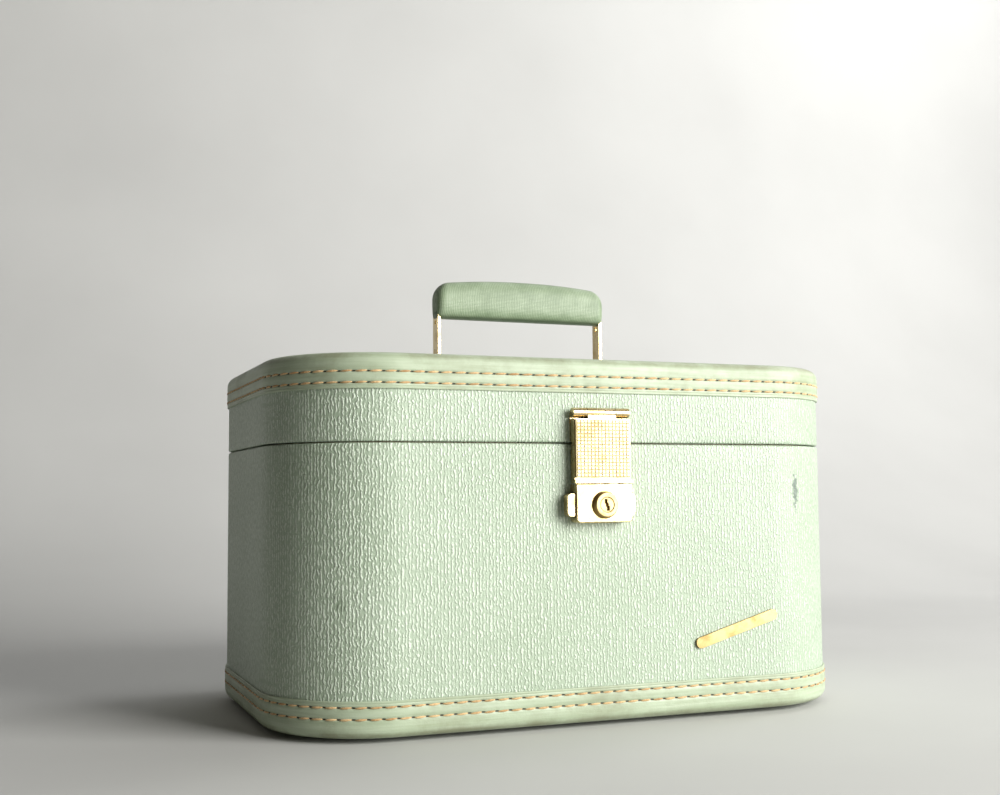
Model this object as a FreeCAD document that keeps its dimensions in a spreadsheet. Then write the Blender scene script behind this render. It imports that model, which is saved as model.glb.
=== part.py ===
"""A vintage hard-sided train case: a round-cornered vinyl-covered box with a hinged lid, stitched
bindings, a surface lock with a hinged hasp, a fold-down bail handle, a mirror and a lift-out tray.

Frame: millimetres, +Z up, the front (lock side) faces -Y, and the origin is the centre of the
bounding box at the surface that the feet stand on."""

import FreeCAD
import Part

import os
import re

import Sketcher

doc = FreeCAD.newDocument("TrainCase")

# ---------------------------------------------------------------- driving dimensions, millimetres
SIZES = {
    # the case
    "case_width": 340.0,
    "case_depth": 220.0,
    "case_height": 194.0,
    "lid_height": 46.0,
    "corner_radius": 60.0,
    "edge_radius": 4.8,
    "seam_gap": 0.7,
    "cover_skin": 0.8,
    "board": 4.0,
    "lining": 1.0,
    "glue_gap": 0.2,
    # feet
    "foot_drop": 2.5,
    "foot_radius": 7.0,
    "foot_flat_radius": 5.5,
    "foot_inset_side": 52.0,
    "foot_inset_front": 42.0,
    # bindings and their stitching
    "binding_height": 19.0,
    "binding_skin": 1.0,
    "binding_return": 14.0,
    "stitch_row_outer": 10.0,
    "stitch_row_inner": 15.8,
    "thread_width": 1.1,
    "thread_thick": 0.35,
    "thread_gap": 0.15,
    # the lip that stands up inside the lid
    "lip_clear": 0.4,
    "lip_thick": 2.5,
    "lip_down": 24.0,
    "lip_up": 6.0,
    # tray, its rests, and the pocket under it
    "tray_gap": 2.5,
    "tray_height": 36.0,
    "tray_drop": 2.0,
    "tray_wall": 2.0,
    "tray_aisle": 96.0,
    "divider_height": 26.0,
    "tray_grip_length": 60.0,
    "tray_grip_height": 12.0,
    "tray_grip_drop": 5.0,
    "tray_clear": 0.3,
    "rest_width": 12.0,
    "rest_height": 8.0,
    "rest_length": 90.0,
    "pocket_length": 190.0,
    "pocket_rise": 16.0,
    "pocket_drop": 11.0,
    "pocket_thick": 5.0,
    "pocket_gap": 0.3,
    "elastic_height": 7.0,
    "elastic_thick": 2.4,
    # mirror in the lid
    "mirror_length": 230.0,
    "mirror_width": 132.0,
    "mirror_radius": 14.0,
    "mirror_glass": 3.0,
    "mirror_card": 2.0,
    "frame_wall": 3.0,
    "frame_lip": 3.0,
    "frame_face": 0.7,
    "mirror_clear": 0.2,
    # rear hinges
    "lid_swing": 100.0,
    "hinge_place": 90.0,
    "hinge_width": 32.0,
    "hinge_middle": 10.0,
    "hinge_leaf": 20.0,
    "hinge_plate": 1.0,
    "hinge_offset": 2.6,
    "barrel_radius": 2.5,
    "hinge_pin_radius": 1.2,
    "pin_clear": 0.05,
    "knuckle_gap": 0.2,
    "leaf_start": 2.9,
    "stop_reach": 2.0,
    "stop_thick": 1.2,
    "stop_gap": 0.1,
    # rivets
    "rivet_head": 2.3,
    "rivet_dome": 0.9,
    "rivet_shank": 1.1,
    "rivet_clear": 0.05,
    "hinge_rivet_place": 10.0,
    "hinge_rivet_drop": 12.0,
    # lock on the body
    "lock_width": 33.0,
    "lock_height": 20.5,
    "lock_depth": 8.0,
    "lock_wall": 1.0,
    "lock_drop": 22.0,
    "lock_round": 2.5,
    "lock_edge": 0.6,
    "lock_plate": 0.8,
    "lock_clear": 0.2,
    "neck_width": 24.0,
    "neck_seam_gap": 1.6,
    "lock_rivet_place": 8.0,
    "lock_rivet_rise": 3.5,
    "neck_rivet_drop": 5.0,
    "ring_radius": 7.5,
    "ring_face_radius": 6.5,
    "ring_height": 3.0,
    "ring_lower": 0.75,
    "sleeve_radius": 5.5,
    "sleeve_length": 2.3,
    "plug_radius": 3.85,
    "plug_clear": 0.08,
    "plug_set_back": 0.25,
    "plug_tail": 2.6,
    "keyway_width": 1.6,
    "keyway_height": 6.2,
    "keyway_depth": 4.5,
    "keyway_jog": 0.65,
    "cam_length": 5.0,
    "cam_width": 4.0,
    "cam_thick": 1.0,
    # release slider
    "slider_travel": 3.0,
    "slider_back": 2.6,
    "slider_plate": 1.2,
    "slider_height": 8.0,
    "slider_left": 21.2,
    "slider_right": 19.1,
    "tab_width": 7.0,
    "tab_height": 12.4,
    "tab_back": 1.8,
    "tab_front": 6.6,
    "tab_round": 2.4,
    "slide_clear": 0.3,
    "finger_width": 5.0,
    "nose_length": 3.0,
    "nose_height": 3.0,
    "nose_clear": 0.3,
    "dog_place": 10.8,
    "dog_width": 2.0,
    "dog_height": 3.0,
    "dog_thick": 1.3,
    "spring_place": 8.2,
    "spring_rise": 6.8,
    "spring_radius": 1.2,
    "spring_wire": 0.45,
    "spring_turns": 7.0,
    "spring_lug": 1.3,
    # hasp on the lid
    "hasp_width": 33.2,
    "hasp_axis_height": 16.2,
    "hasp_axis_stand": 3.7,
    "hasp_barrel": 2.6,
    "hasp_pin_radius": 1.0,
    "hasp_knuckle": 16.6,
    "hasp_turn_gap": 3.2,
    "hasp_stand": 4.9,
    "hasp_plate": 1.0,
    "hasp_base_plate": 0.8,
    "hasp_base_gap": 0.6,
    "hasp_lip_gap": 0.4,
    "hasp_lip_height": 1.8,
    "hasp_lip_proud": 1.7,
    "hasp_lip_wide": 0.3,
    "hasp_flange": 0.8,
    "hasp_flange_back": 1.4,
    "hasp_rivet_place": 8.0,
    "hasp_rivet_rise": 6.0,
    "pad_width": 32.0,
    "pad_thick": 1.5,
    "pad_low_gap": 1.2,
    "pad_top_gap": 3.6,
    "pad_round": 0.8,
    "catch_width": 3.2,
    "catch_height": 5.0,
    "catch_back": 1.6,
    "catch_wall": 0.7,
    "catch_rise": 9.0,
    # handle
    "arm_spread": 108.0,
    "arm_thick": 1.8,
    "arm_width": 9.4,
    "pivot_height": 6.5,
    "pivot_radius": 1.5,
    "pivot_head": 2.6,
    "pivot_head_thick": 0.7,
    "arm_hole_radius": 1.5,
    "arm_hole_drop": 2.2,
    "grip_gap": 35.0,
    "grip_length": 112.0,
    "grip_height": 25.5,
    "grip_thick": 18.0,
    "grip_end_round": 9.0,
    "grip_edge_round": 7.0,
    "grip_skin": 1.2,
    "grip_notch": 3.0,
    "strap_rise": 14.0,
    "strap_clear": 0.2,
    "bracket_length": 24.0,
    "bracket_width": 9.0,
    "bracket_plate": 1.0,
    "ear_thick": 1.2,
    "ear_gap": 0.2,
    "ear_radius": 4.4,
    "bracket_rivet_place": 8.5,
    # badge
    "badge_length": 54.0,
    "badge_width": 6.0,
    "badge_thick": 1.6,
    "badge_round": 2.9,
    "badge_place_side": 84.0,
    "badge_place_height": 45.5,
    "badge_tilt": 16.3,
    "badge_pin_place": 17.0,
    "badge_pin_radius": 0.9,
}

sheet = doc.addObject("Spreadsheet::Sheet", "Sizes")
for row, (alias, size) in enumerate(SIZES.items(), 1):
    sheet.set(f"A{row}", alias)
    sheet.set(f"B{row}", str(size))
    sheet.setAlias(f"B{row}", alias)
doc.recompute()

# ---------------------------------------------------------------- places worked out from the sizes
STOP_TOP = "(hinge_offset - hinge_plate - stop_gap)"
STOP_BACK = f"((barrel_radius + stop_reach) * sin(lid_swing * 1deg) - {STOP_TOP} * cos(lid_swing * 1deg))"
CENTRE_Y = f"((lock_depth + ring_height - hinge_offset - {STOP_BACK}) / 2)"
FRONT = f"({CENTRE_Y} - case_depth / 2)"
BACK = f"({CENTRE_Y} + case_depth / 2)"
BASE = "(foot_drop + binding_skin)"
TOP = "(foot_drop + case_height - binding_skin)"
SEAM = "(foot_drop + case_height - lid_height)"
BODY_TOP = f"({SEAM} - seam_gap / 2)"
LID_LOW = f"({SEAM} + seam_gap / 2)"
BOARD_OUT = "(cover_skin + glue_gap)"
BOARD_IN = f"({BOARD_OUT} + board)"
LINING_OUT = f"({BOARD_IN} + glue_gap)"
LINING_IN = f"({LINING_OUT} + lining)"
LIP_OUT = f"({LINING_IN} + lip_clear)"
LIP_IN = f"({LIP_OUT} + lip_thick)"
TRAY_OUT = f"({LIP_IN} + tray_gap)"
FLOOR = f"({BASE} + {BOARD_IN})"
CEILING = f"({TOP} - {BOARD_IN} - lining)"
TRAY_TOP = f"({BODY_TOP} - tray_drop)"
TRAY_LOW = f"({TRAY_TOP} - tray_height)"
HINGE_Y = f"({BACK} + hinge_offset)"
LOCK_LOW = f"({SEAM} - lock_drop - lock_height)"
LOCK_TOP = f"({SEAM} - lock_drop)"
LOCK_MID = f"({LOCK_LOW} + lock_height / 2 - ring_lower)"
SLIDER_FRONT = "(slider_back + slider_plate)"
NOSE_START = "(catch_width / 2 + nose_clear)"
CATCH_Z = f"({LOCK_TOP} + catch_rise)"
SPRING_Z = f"({LOCK_MID} + spring_rise)"
HASP_AXIS = f"({SEAM} + hasp_axis_height)"
HASP_LOW = f"({LOCK_TOP} + hasp_lip_gap)"
HASP_HIGH = f"({HASP_AXIS} - hasp_turn_gap)"
PIVOT_Z = f"({TOP} + pivot_height)"
GRIP_LOW = f"({TOP} + grip_gap)"
ARM_X = "(arm_spread / 2)"

nodes = {}


# ---------------------------------------------------------------- how a piece is bound and made
def in_sheet(expression):
    """The expression with each driving dimension's alias read from the sheet."""
    return re.sub(r"[a-z_]+", lambda word: f"Sizes.{word[0]}" if word[0] in SIZES else word[0], expression)


def bind(thing, **expressions):
    """Binds properties to expressions; a double underscore stands for the dot in a property's path."""
    for path, expression in expressions.items():
        thing.setExpression(path.replace("__", "."), in_sheet(expression))


def node(label, thing):
    """Names a finished sub-part, so that it is written under that name."""
    thing.Label = label
    nodes[label] = thing
    return thing


def box(name, x, y, z):
    """A box between pairs of places along each axis."""
    made = doc.addObject("Part::Box", name)
    bind(
        made,
        Length=f"({x[1]}) - ({x[0]})",
        Width=f"({y[1]}) - ({y[0]})",
        Height=f"({z[1]}) - ({z[0]})",
        Placement__Base__x=x[0],
        Placement__Base__y=y[0],
        Placement__Base__z=z[0],
    )
    return made


TURNS = {
    "x": FreeCAD.Rotation(FreeCAD.Vector(0, 1, 0), 90),
    "y": FreeCAD.Rotation(FreeCAD.Vector(1, 0, 0), -90),
    "z": FreeCAD.Rotation(),
}


def place_round(made, axis, start, across):
    """Turns a round primitive onto an axis, with its base centre at start along it."""
    made.Placement = FreeCAD.Placement(FreeCAD.Vector(), TURNS[axis])
    first, second = [a for a in "xyz" if a != axis]
    places = {axis: start, first: across[0], second: across[1]}
    bind(made, **{f"Placement__Base__{a}": place for a, place in places.items()})
    return made


def rod(name, axis, span, across, radius):
    """A cylinder along an axis, between two places on it, at a place on the other two axes."""
    made = doc.addObject("Part::Cylinder", name)
    bind(made, Radius=radius, Height=f"({span[1]}) - ({span[0]})")
    return place_round(made, axis, span[0], across)


def cone(name, axis, span, across, first_radius, second_radius):
    made = doc.addObject("Part::Cone", name)
    bind(made, Radius1=first_radius, Radius2=second_radius, Height=f"({span[1]}) - ({span[0]})")
    return place_round(made, axis, span[0], across)


def fuse(name, *things):
    made = doc.addObject("Part::MultiFuse", name)
    made.Shapes = list(things)
    made.Refine = True
    return made


def cut(name, base, *tools):
    """base with every tool taken away."""
    made = doc.addObject("Part::Cut", name)
    made.Base = base
    made.Tool = tools[0] if len(tools) == 1 else group(f"{name}_tools", *tools)
    return made


def common(name, first, second):
    made = doc.addObject("Part::Common", name)
    made.Base = first
    made.Tool = second
    return made


def group(name, *things):
    """Separate solids that share one node."""
    made = doc.addObject("Part::Compound", name)
    made.Links = list(things)
    return made


def mirrored(name, thing):
    """The same piece on the other side of the case, across the YZ plane."""
    made = doc.addObject("Part::Mirroring", name)
    made.Source = thing
    made.Normal = FreeCAD.Vector(1, 0, 0)
    return made


def pair(name, thing):
    return group(name, thing, mirrored(f"{name}_other", thing))


def origin_plane(body, role):
    return next(f for f in body.Origin.OriginFeatures if f.Role == role)


def add_rounded_rectangle(sketch, width, depth, radius):
    """Closes a rectangle with four equal corner arcs, centred on the sketch's origin."""
    half_w, half_d, r = 50.0, 40.0, 10.0
    vector = FreeCAD.Vector
    normal = vector(0, 0, 1)
    corners = [(1, -1, -90), (1, 1, 0), (-1, 1, 90), (-1, -1, 180)]
    lines = [
        ((-half_w + r, -half_d), (half_w - r, -half_d)),
        ((half_w, -half_d + r), (half_w, half_d - r)),
        ((half_w - r, half_d), (-half_w + r, half_d)),
        ((-half_w, half_d - r), (-half_w, -half_d + r)),
    ]
    for (start, end), (side_x, side_y, turn) in zip(lines, corners):
        sketch.addGeometry(Part.LineSegment(vector(*start, 0), vector(*end, 0)))
        centre = vector(side_x * (half_w - r), side_y * (half_d - r), 0)
        circle = Part.Circle(centre, normal, r)
        first = FreeCAD.Units.Quantity(f"{turn} deg").getValueAs("rad").Value
        last = FreeCAD.Units.Quantity(f"{turn + 90} deg").getValueAs("rad").Value
        sketch.addGeometry(Part.ArcOfCircle(circle, first, last))
    rule = Sketcher.Constraint
    rules = [rule("Tangent", g, 2, (g + 1) % 8, 1) for g in range(8)]
    rules += [rule("Horizontal", 0), rule("Horizontal", 4), rule("Vertical", 2), rule("Vertical", 6)]
    rules += [rule("Equal", 1, g) for g in (3, 5, 7)]
    rules += [rule("Symmetric", 1, 3, 5, 3, -1, 1)]
    rules += [rule("Radius", 1, r)]
    rules += [rule("DistanceX", 6, 1, 2, 1, 2 * half_w), rule("DistanceY", 0, 1, 4, 1, 2 * half_d)]
    sketch.addConstraint(rules)
    named = {"radius": radius, "width": width, "depth": depth}
    for back, (label, expression) in enumerate(named.items()):
        sketch.renameConstraint(len(rules) - 3 + back, label)
        sketch.setExpression(f"Constraints.{label}", in_sheet(expression))


def at_top(edge, whole):
    return edge.BoundBox.ZMin > whole.ZMax - 0.01


def at_bottom(edge, whole):
    return edge.BoundBox.ZMax < whole.ZMin + 0.01


def at_front(edge, whole):
    return edge.BoundBox.YMax < whole.YMin + 0.01


def at_back(edge, whole):
    return edge.BoundBox.YMin > whole.YMax - 0.01


def through(edge):
    """True for a straight edge that runs from front to back."""
    ends = [v.Point for v in edge.Vertexes]
    return len(ends) == 2 and abs(abs(ends[1].y - ends[0].y) - ends[1].distanceToPoint(ends[0])) < 1e-6


def low_corner(edge, whole):
    return through(edge) and edge.BoundBox.ZMax < whole.Center.z


def high_corner(edge, whole):
    return through(edge) and edge.BoundBox.ZMin > whole.Center.z


def left_corner(edge, whole):
    return through(edge) and edge.BoundBox.XMax < whole.Center.x


def right_corner(edge, whole):
    return through(edge) and edge.BoundBox.XMin > whole.Center.x


def any_corner(edge, whole):
    return through(edge)


def soften(body, feature, radius, wanted):
    """Rounds the edges that the wanted test picks, given each edge and the whole shape's box."""
    doc.recompute()
    whole = feature.Shape.BoundBox
    edges = [f"Edge{i}" for i, e in enumerate(feature.Shape.Edges, 1) if wanted(e, whole)]
    made = body.newObject("PartDesign::Fillet", f"{body.Name}_round")
    made.Base = (feature, edges)
    bind(made, Radius=radius)
    body.Tip = made
    return made


def slab(name, width, depth, radius, low, high, rounded=None):
    """A round-cornered slab on the case's centre; rounded is (the edges' test, their radius)."""
    body = doc.addObject("PartDesign::Body", name)
    sketch = body.newObject("Sketcher::SketchObject", f"{name}_outline")
    sketch.AttachmentSupport = (origin_plane(body, "XY_Plane"), [""])
    sketch.MapMode = "FlatFace"
    bind(sketch, AttachmentOffset__Base__y=CENTRE_Y, AttachmentOffset__Base__z=low)
    add_rounded_rectangle(sketch, width, depth, radius)
    pad = body.newObject("PartDesign::Pad", f"{name}_pad")
    pad.Profile = sketch
    bind(pad, Length=f"({high}) - ({low})")
    body.Tip = pad
    if rounded:
        edges, edge_radius = rounded
        soften(body, pad, edge_radius, edges)
    return body


def case_slab(name, inset, low, high, rounded=None):
    """A slab of the case's own outline, set in from the cover's face."""
    width, depth = f"case_width - 2 * ({inset})", f"case_depth - 2 * ({inset})"
    return slab(name, width, depth, f"corner_radius - ({inset})", low, high, rounded)


def case_ring(name, outer, inner, low, high):
    """A wall of the case's outline between two insets."""
    block = case_slab(f"{name}_block", outer, low, high)
    return cut(name, block, case_slab(f"{name}_hole", inner, low, high))


def end_block(name, inset, far, lid, limit="case_height"):
    """A solid of the case's outline from its closed end, whose edge is rolled, to a height."""
    radius = f"min(edge_radius - ({inset}); {limit})"
    if lid:
        return case_slab(name, inset, far, f"({TOP} - ({inset}))", (at_top, radius))
    return case_slab(name, inset, f"({BASE} + ({inset}))", far, (at_bottom, radius))


def plate(name, x, z, y, rounds=()):
    """A plate that faces the front: an outline in X and Z, between two places in Y.
    rounds are (radius, test) pairs for its edges, rounded in turn."""
    body = doc.addObject("PartDesign::Body", name)
    sketch = body.newObject("Sketcher::SketchObject", f"{name}_outline")
    sketch.AttachmentSupport = (origin_plane(body, "XZ_Plane"), [""])
    sketch.MapMode = "FlatFace"
    bind(sketch, AttachmentOffset__Base__z=f"-({y[1]})")
    vector = FreeCAD.Vector
    corners = [vector(0, 0, 0), vector(9, 0, 0), vector(9, 9, 0), vector(0, 9, 0)]
    for g in range(4):
        sketch.addGeometry(Part.LineSegment(corners[g], corners[(g + 1) % 4]))
    rule = Sketcher.Constraint
    rules = [rule("Coincident", g, 2, (g + 1) % 4, 1) for g in range(4)]
    rules += [rule("Horizontal", 0), rule("Horizontal", 2), rule("Vertical", 1), rule("Vertical", 3)]
    places = {"left": x[0], "low": z[0], "right": x[1], "high": z[1]}
    rules += [rule("DistanceX", -1, 1, 0, 1, 0.0), rule("DistanceY", -1, 1, 0, 1, 0.0)]
    rules += [rule("DistanceX", -1, 1, 1, 2, 9.0), rule("DistanceY", -1, 1, 1, 2, 9.0)]
    sketch.addConstraint(rules)
    for back, (label, expression) in enumerate(places.items()):
        sketch.renameConstraint(len(rules) - 4 + back, label)
        sketch.setExpression(f"Constraints.{label}", in_sheet(expression))
    pad = body.newObject("PartDesign::Pad", f"{name}_pad")
    pad.Profile = sketch
    bind(pad, Length=f"({y[1]}) - ({y[0]})")
    body.Tip = pad
    last = pad
    for radius, wanted in rounds:
        last = soften(body, last, radius, wanted)
    return body


def out(distance):
    """The place in Y that stands this far out from the front cover."""
    return f"({FRONT} - ({distance}))"


def rivet(name, axis, seat, grip, across, outward):
    """A rivet: a domed head that stands on its seat and a shank that runs the other way by grip."""
    head_end = f"({seat}) + ({outward}) * rivet_dome"
    shank_end = f"({seat}) - ({outward}) * ({grip})"
    if outward > 0:
        head = cone(f"{name}_head", axis, (seat, head_end), across, "rivet_head", "rivet_head * 0.6")
        shank = rod(f"{name}_shank", axis, (shank_end, seat), across, "rivet_shank")
    else:
        head = cone(f"{name}_head", axis, (head_end, seat), across, "rivet_head * 0.6", "rivet_head")
        shank = rod(f"{name}_shank", axis, (seat, shank_end), across, "rivet_shank")
    return fuse(name, head, shank)


def rivet_hole(name, axis, span, across):
    return rod(name, axis, span, across, "rivet_shank + rivet_clear")


# ---------------------------------------------------------------- walls and coverings of the case
FRONT_WALL = (out(1), f"({FRONT} + {BOARD_IN} + 1)")
BACK_WALL = (f"({BACK} - {BOARD_IN} - 1)", f"({BACK} + 1)")


def both_sides(place):
    return [place, f"(-({place}))"]


foot_spots = [
    (x, f"({CENTRE_Y} {sign} (case_depth / 2 - foot_inset_front))")
    for x in both_sides("(case_width / 2 - foot_inset_side)")
    for sign in "+-"
]
hinge_rivet_xs = [
    f"({hinge} {sign} hinge_rivet_place)" for hinge in both_sides("hinge_place") for sign in "+-"
]
lock_rivet_spots = [
    (x, z)
    for x in both_sides("lock_rivet_place")
    for z in (f"({LOCK_LOW} + lock_rivet_rise)", f"({SEAM} - neck_rivet_drop)")
]
hasp_rivet_spots = [(x, f"({LID_LOW} + hasp_rivet_rise)") for x in both_sides("hasp_rivet_place")]
bracket_rivet_spots = [
    (x, f"({CENTRE_Y} {sign} bracket_rivet_place)") for x in both_sides(ARM_X) for sign in "+-"
]
BODY_HINGE_RIVETS = f"({SEAM} - hinge_rivet_drop)"
LID_HINGE_RIVETS = f"({SEAM} + hinge_rivet_drop)"


def hole_set(name, axis, span, spots):
    """Rivet holes through one wall, as one tool."""
    return group(name, *[rivet_hole(f"{name}_{n}", axis, span, at) for n, at in enumerate(spots)])


def badge_part(name, thing):
    """Tilts a piece of the badge, made upright round the origin, and moves it to its place."""
    whole = group(name, thing)
    whole.Placement = FreeCAD.Placement(FreeCAD.Vector(), FreeCAD.Rotation(FreeCAD.Vector(0, -1, 0), 1))
    bind(
        whole,
        Placement__Base__x="badge_place_side",
        Placement__Base__y=FRONT,
        Placement__Base__z="foot_drop + badge_place_height",
        Placement__Rotation__Angle="badge_tilt * 1deg",
    )
    return whole


def badge_pin_rods(name, radius, reach):
    """The two pins behind the badge, or the holes that they are pressed into."""
    return group(
        name,
        *[
            rod(f"{name}_{n}", "y", ("0", reach), (x, "0"), radius)
            for n, x in enumerate(both_sides("badge_pin_place"))
        ],
    )


foot_holes = hole_set("foot_holes", "z", (f"{BASE} - 1", f"{FLOOR} + 1"), foot_spots)
body_hinge_holes = hole_set(
    "body_hinge_holes", "y", BACK_WALL, [(x, BODY_HINGE_RIVETS) for x in hinge_rivet_xs]
)
lid_hinge_holes = hole_set(
    "lid_hinge_holes", "y", BACK_WALL, [(x, LID_HINGE_RIVETS) for x in hinge_rivet_xs]
)
lock_holes = hole_set("lock_holes", "y", FRONT_WALL, lock_rivet_spots)
hasp_holes = hole_set("hasp_holes", "y", FRONT_WALL, hasp_rivet_spots)
bracket_holes = hole_set(
    "bracket_holes", "z", (f"{TOP} - {BOARD_IN} - 1", f"{TOP} + bracket_plate + 1"), bracket_rivet_spots
)
badge_holes = badge_part(
    "badge_holes", badge_pin_rods("badge_hole", "badge_pin_radius + rivet_clear", "board + 1")
)

# the body: a board wall and a base panel, a vinyl cover over both, and a lining tub inside
OVER_SEAM = f"({BODY_TOP} + 1)"
node(
    "body_cover",
    cut(
        "body_cover",
        end_block("body_cover_block", "0", BODY_TOP, lid=False),
        end_block("body_cover_hollow", "cover_skin", OVER_SEAM, lid=False),
        foot_holes,
        body_hinge_holes,
        lock_holes,
        badge_holes,
    ),
)
node(
    "body_shell",
    cut(
        "body_shell",
        end_block("body_shell_block", BOARD_OUT, BODY_TOP, lid=False, limit="board - glue_gap"),
        case_slab("body_shell_hollow", BOARD_IN, f"{BASE} - 1", OVER_SEAM),
        body_hinge_holes,
        lock_holes,
        badge_holes,
    ),
)
node(
    "base_panel",
    cut(
        "base_panel",
        case_slab("base_panel_block", LINING_OUT, f"{BASE} + {BOARD_OUT}", FLOOR),
        foot_holes,
    ),
)
node(
    "body_lining",
    cut(
        "body_lining",
        case_slab("body_lining_block", LINING_OUT, FLOOR, BODY_TOP),
        case_slab("body_lining_hollow", LINING_IN, f"{FLOOR} + lining", OVER_SEAM),
    ),
)

# the lip comes as four strips: one bent round the corners at the front, one at the back, and a
# straight one at each end
lip_z = (f"{BODY_TOP} - lip_down", f"{BODY_TOP} + lip_up")
end_strips = box(
    "end_strips",
    ("-case_width", "case_width"),
    (f"{CENTRE_Y} - case_depth / 2 + corner_radius", f"{CENTRE_Y} + case_depth / 2 - corner_radius"),
    (f"{lip_z[0]} - 1", f"{lip_z[1]} + 1"),
)
node("rim_lip", cut("rim_lip", case_ring("lip_ring", LIP_OUT, LIP_IN, *lip_z), end_strips))
node("rim_lip_ends", common("rim_lip_ends", case_ring("lip_ends_ring", LIP_OUT, LIP_IN, *lip_z), end_strips))

# the lid: a board wall and a top panel, their cover, and a lining
UNDER_SEAM = f"({LID_LOW} - 1)"
node(
    "lid_cover",
    cut(
        "lid_cover",
        end_block("lid_cover_block", "0", LID_LOW, lid=True),
        end_block("lid_cover_hollow", "cover_skin", UNDER_SEAM, lid=True),
        lid_hinge_holes,
        hasp_holes,
        bracket_holes,
    ),
)
node(
    "lid_shell",
    cut(
        "lid_shell",
        end_block("lid_shell_block", BOARD_OUT, LID_LOW, lid=True, limit="board - glue_gap"),
        case_slab("lid_shell_hollow", BOARD_IN, UNDER_SEAM, f"{TOP} + 1"),
        lid_hinge_holes,
        hasp_holes,
    ),
)
node(
    "top_panel",
    cut(
        "top_panel",
        case_slab("top_panel_block", LINING_OUT, f"{TOP} - {BOARD_IN}", f"{TOP} - {BOARD_OUT}"),
        bracket_holes,
    ),
)
node(
    "lid_lining",
    cut(
        "lid_lining",
        case_slab("lid_lining_block", LINING_OUT, LID_LOW, f"{TOP} - {BOARD_IN}"),
        case_slab("lid_lining_hollow", LINING_IN, UNDER_SEAM, CEILING),
    ),
)


# ---------------------------------------------------------------- bindings, stitching and feet
def binding(name, lid):
    """A band round the case's edge, turned over onto its closed end."""
    far = f"({TOP} + binding_skin - binding_height)" if lid else "(foot_drop + binding_height)"
    beyond = f"({far} - 1)" if lid else f"({far} + 1)"
    low, high = (CEILING, f"({TOP} + 2 * binding_skin)") if lid else ("0", f"({FLOOR})")
    return cut(
        name,
        end_block(f"{name}_block", "-binding_skin", far, lid),
        end_block(f"{name}_hollow", "-glue_gap", beyond, lid),
        case_slab(f"{name}_window", "binding_return", low, high),
    )


def stitching(name, lid):
    """Two rows of thread round a binding."""
    rows = []
    for row in ("stitch_row_outer", "stitch_row_inner"):
        middle = f"({TOP} + binding_skin - {row})" if lid else f"(foot_drop + {row})"
        rows.append(
            case_ring(
                f"{name}_{row}",
                "-(binding_skin + thread_gap + thread_thick)",
                "-(binding_skin + thread_gap)",
                f"{middle} - thread_width / 2",
                f"{middle} + thread_width / 2",
            )
        )
    return group(name, *rows)


node("lower_binding", binding("lower_binding", lid=False))
node("upper_binding", binding("upper_binding", lid=True))
node("body_stitching", stitching("body_stitching", lid=False))
node("lid_stitching", stitching("lid_stitching", lid=True))

feet = [
    fuse(
        f"foot_{n}",
        cone(f"foot_{n}_glide", "z", ("0", BASE), at, "foot_flat_radius", "foot_radius"),
        rod(f"foot_{n}_nail", "z", (BASE, f"{FLOOR} - lining"), at, "rivet_shank"),
    )
    for n, at in enumerate(foot_spots)
]
node("feet", group("feet", *feet))

# ---------------------------------------------------------------- inside the body
side_wall = f"(case_width / 2 - {LINING_IN} - tray_clear)"
rest_y = [f"{CENTRE_Y} - rest_length / 2", f"{CENTRE_Y} + rest_length / 2"]
rest_z = [f"{TRAY_LOW} - tray_clear - rest_height", f"{TRAY_LOW} - tray_clear"]
rest_x = (f"{side_wall} - rest_width", side_wall)
node("tray_rests", pair("tray_rests", box("tray_rest", rest_x, rest_y, rest_z)))

pocket_back = f"({BACK} - {LINING_IN} - pocket_gap)"
elastic_top = f"({TRAY_LOW} - pocket_drop)"
elastic_low = f"({elastic_top} - elastic_height)"
pocket_x = ("-pocket_length / 2", "pocket_length / 2")
node(
    "back_pocket",
    box(
        "back_pocket",
        pocket_x,
        (f"{pocket_back} - pocket_thick", pocket_back),
        (f"{FLOOR} + lining + pocket_rise", f"{elastic_low} - pocket_gap"),
    ),
)
node(
    "pocket_elastic",
    box(
        "pocket_elastic",
        pocket_x,
        (f"{pocket_back} - elastic_thick", pocket_back),
        (elastic_low, elastic_top),
    ),
)

# the lift-out tray: a moulded dish with an aisle down its middle and four side bays
tray_hollow = case_slab(
    "tray_hollow", f"{TRAY_OUT} + tray_wall", f"{TRAY_LOW} + tray_wall", f"{TRAY_TOP} + 1"
)
tray_dish = cut("tray_dish", case_slab("tray_block", TRAY_OUT, TRAY_LOW, TRAY_TOP), tray_hollow)
divider_z = (f"{TRAY_LOW} + tray_wall", f"{TRAY_LOW} + divider_height")
aisle_side = box(
    "tray_aisle_side",
    ("tray_aisle / 2", "tray_aisle / 2 + tray_wall"),
    (FRONT, BACK),
    divider_z,
)
bay_wall = box(
    "tray_bay_wall",
    ("tray_aisle / 2", "case_width / 2"),
    (f"{CENTRE_Y} - tray_wall / 2", f"{CENTRE_Y} + tray_wall / 2"),
    divider_z,
)
dividers = common(
    "tray_dividers",
    case_slab("tray_divider_room", f"{TRAY_OUT} + tray_wall / 2", TRAY_LOW, TRAY_TOP),
    pair("tray_divider_pair", fuse("tray_divider_side", aisle_side, bay_wall)),
)
grip_slot = box(
    "tray_grip_slot",
    ("-case_width / 2", "case_width / 2"),
    (f"{CENTRE_Y} - tray_grip_length / 2", f"{CENTRE_Y} + tray_grip_length / 2"),
    (f"{TRAY_TOP} - tray_grip_drop - tray_grip_height", f"{TRAY_TOP} - tray_grip_drop"),
)
node("tray", cut("tray", fuse("tray_whole", tray_dish, dividers), grip_slot))


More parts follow.
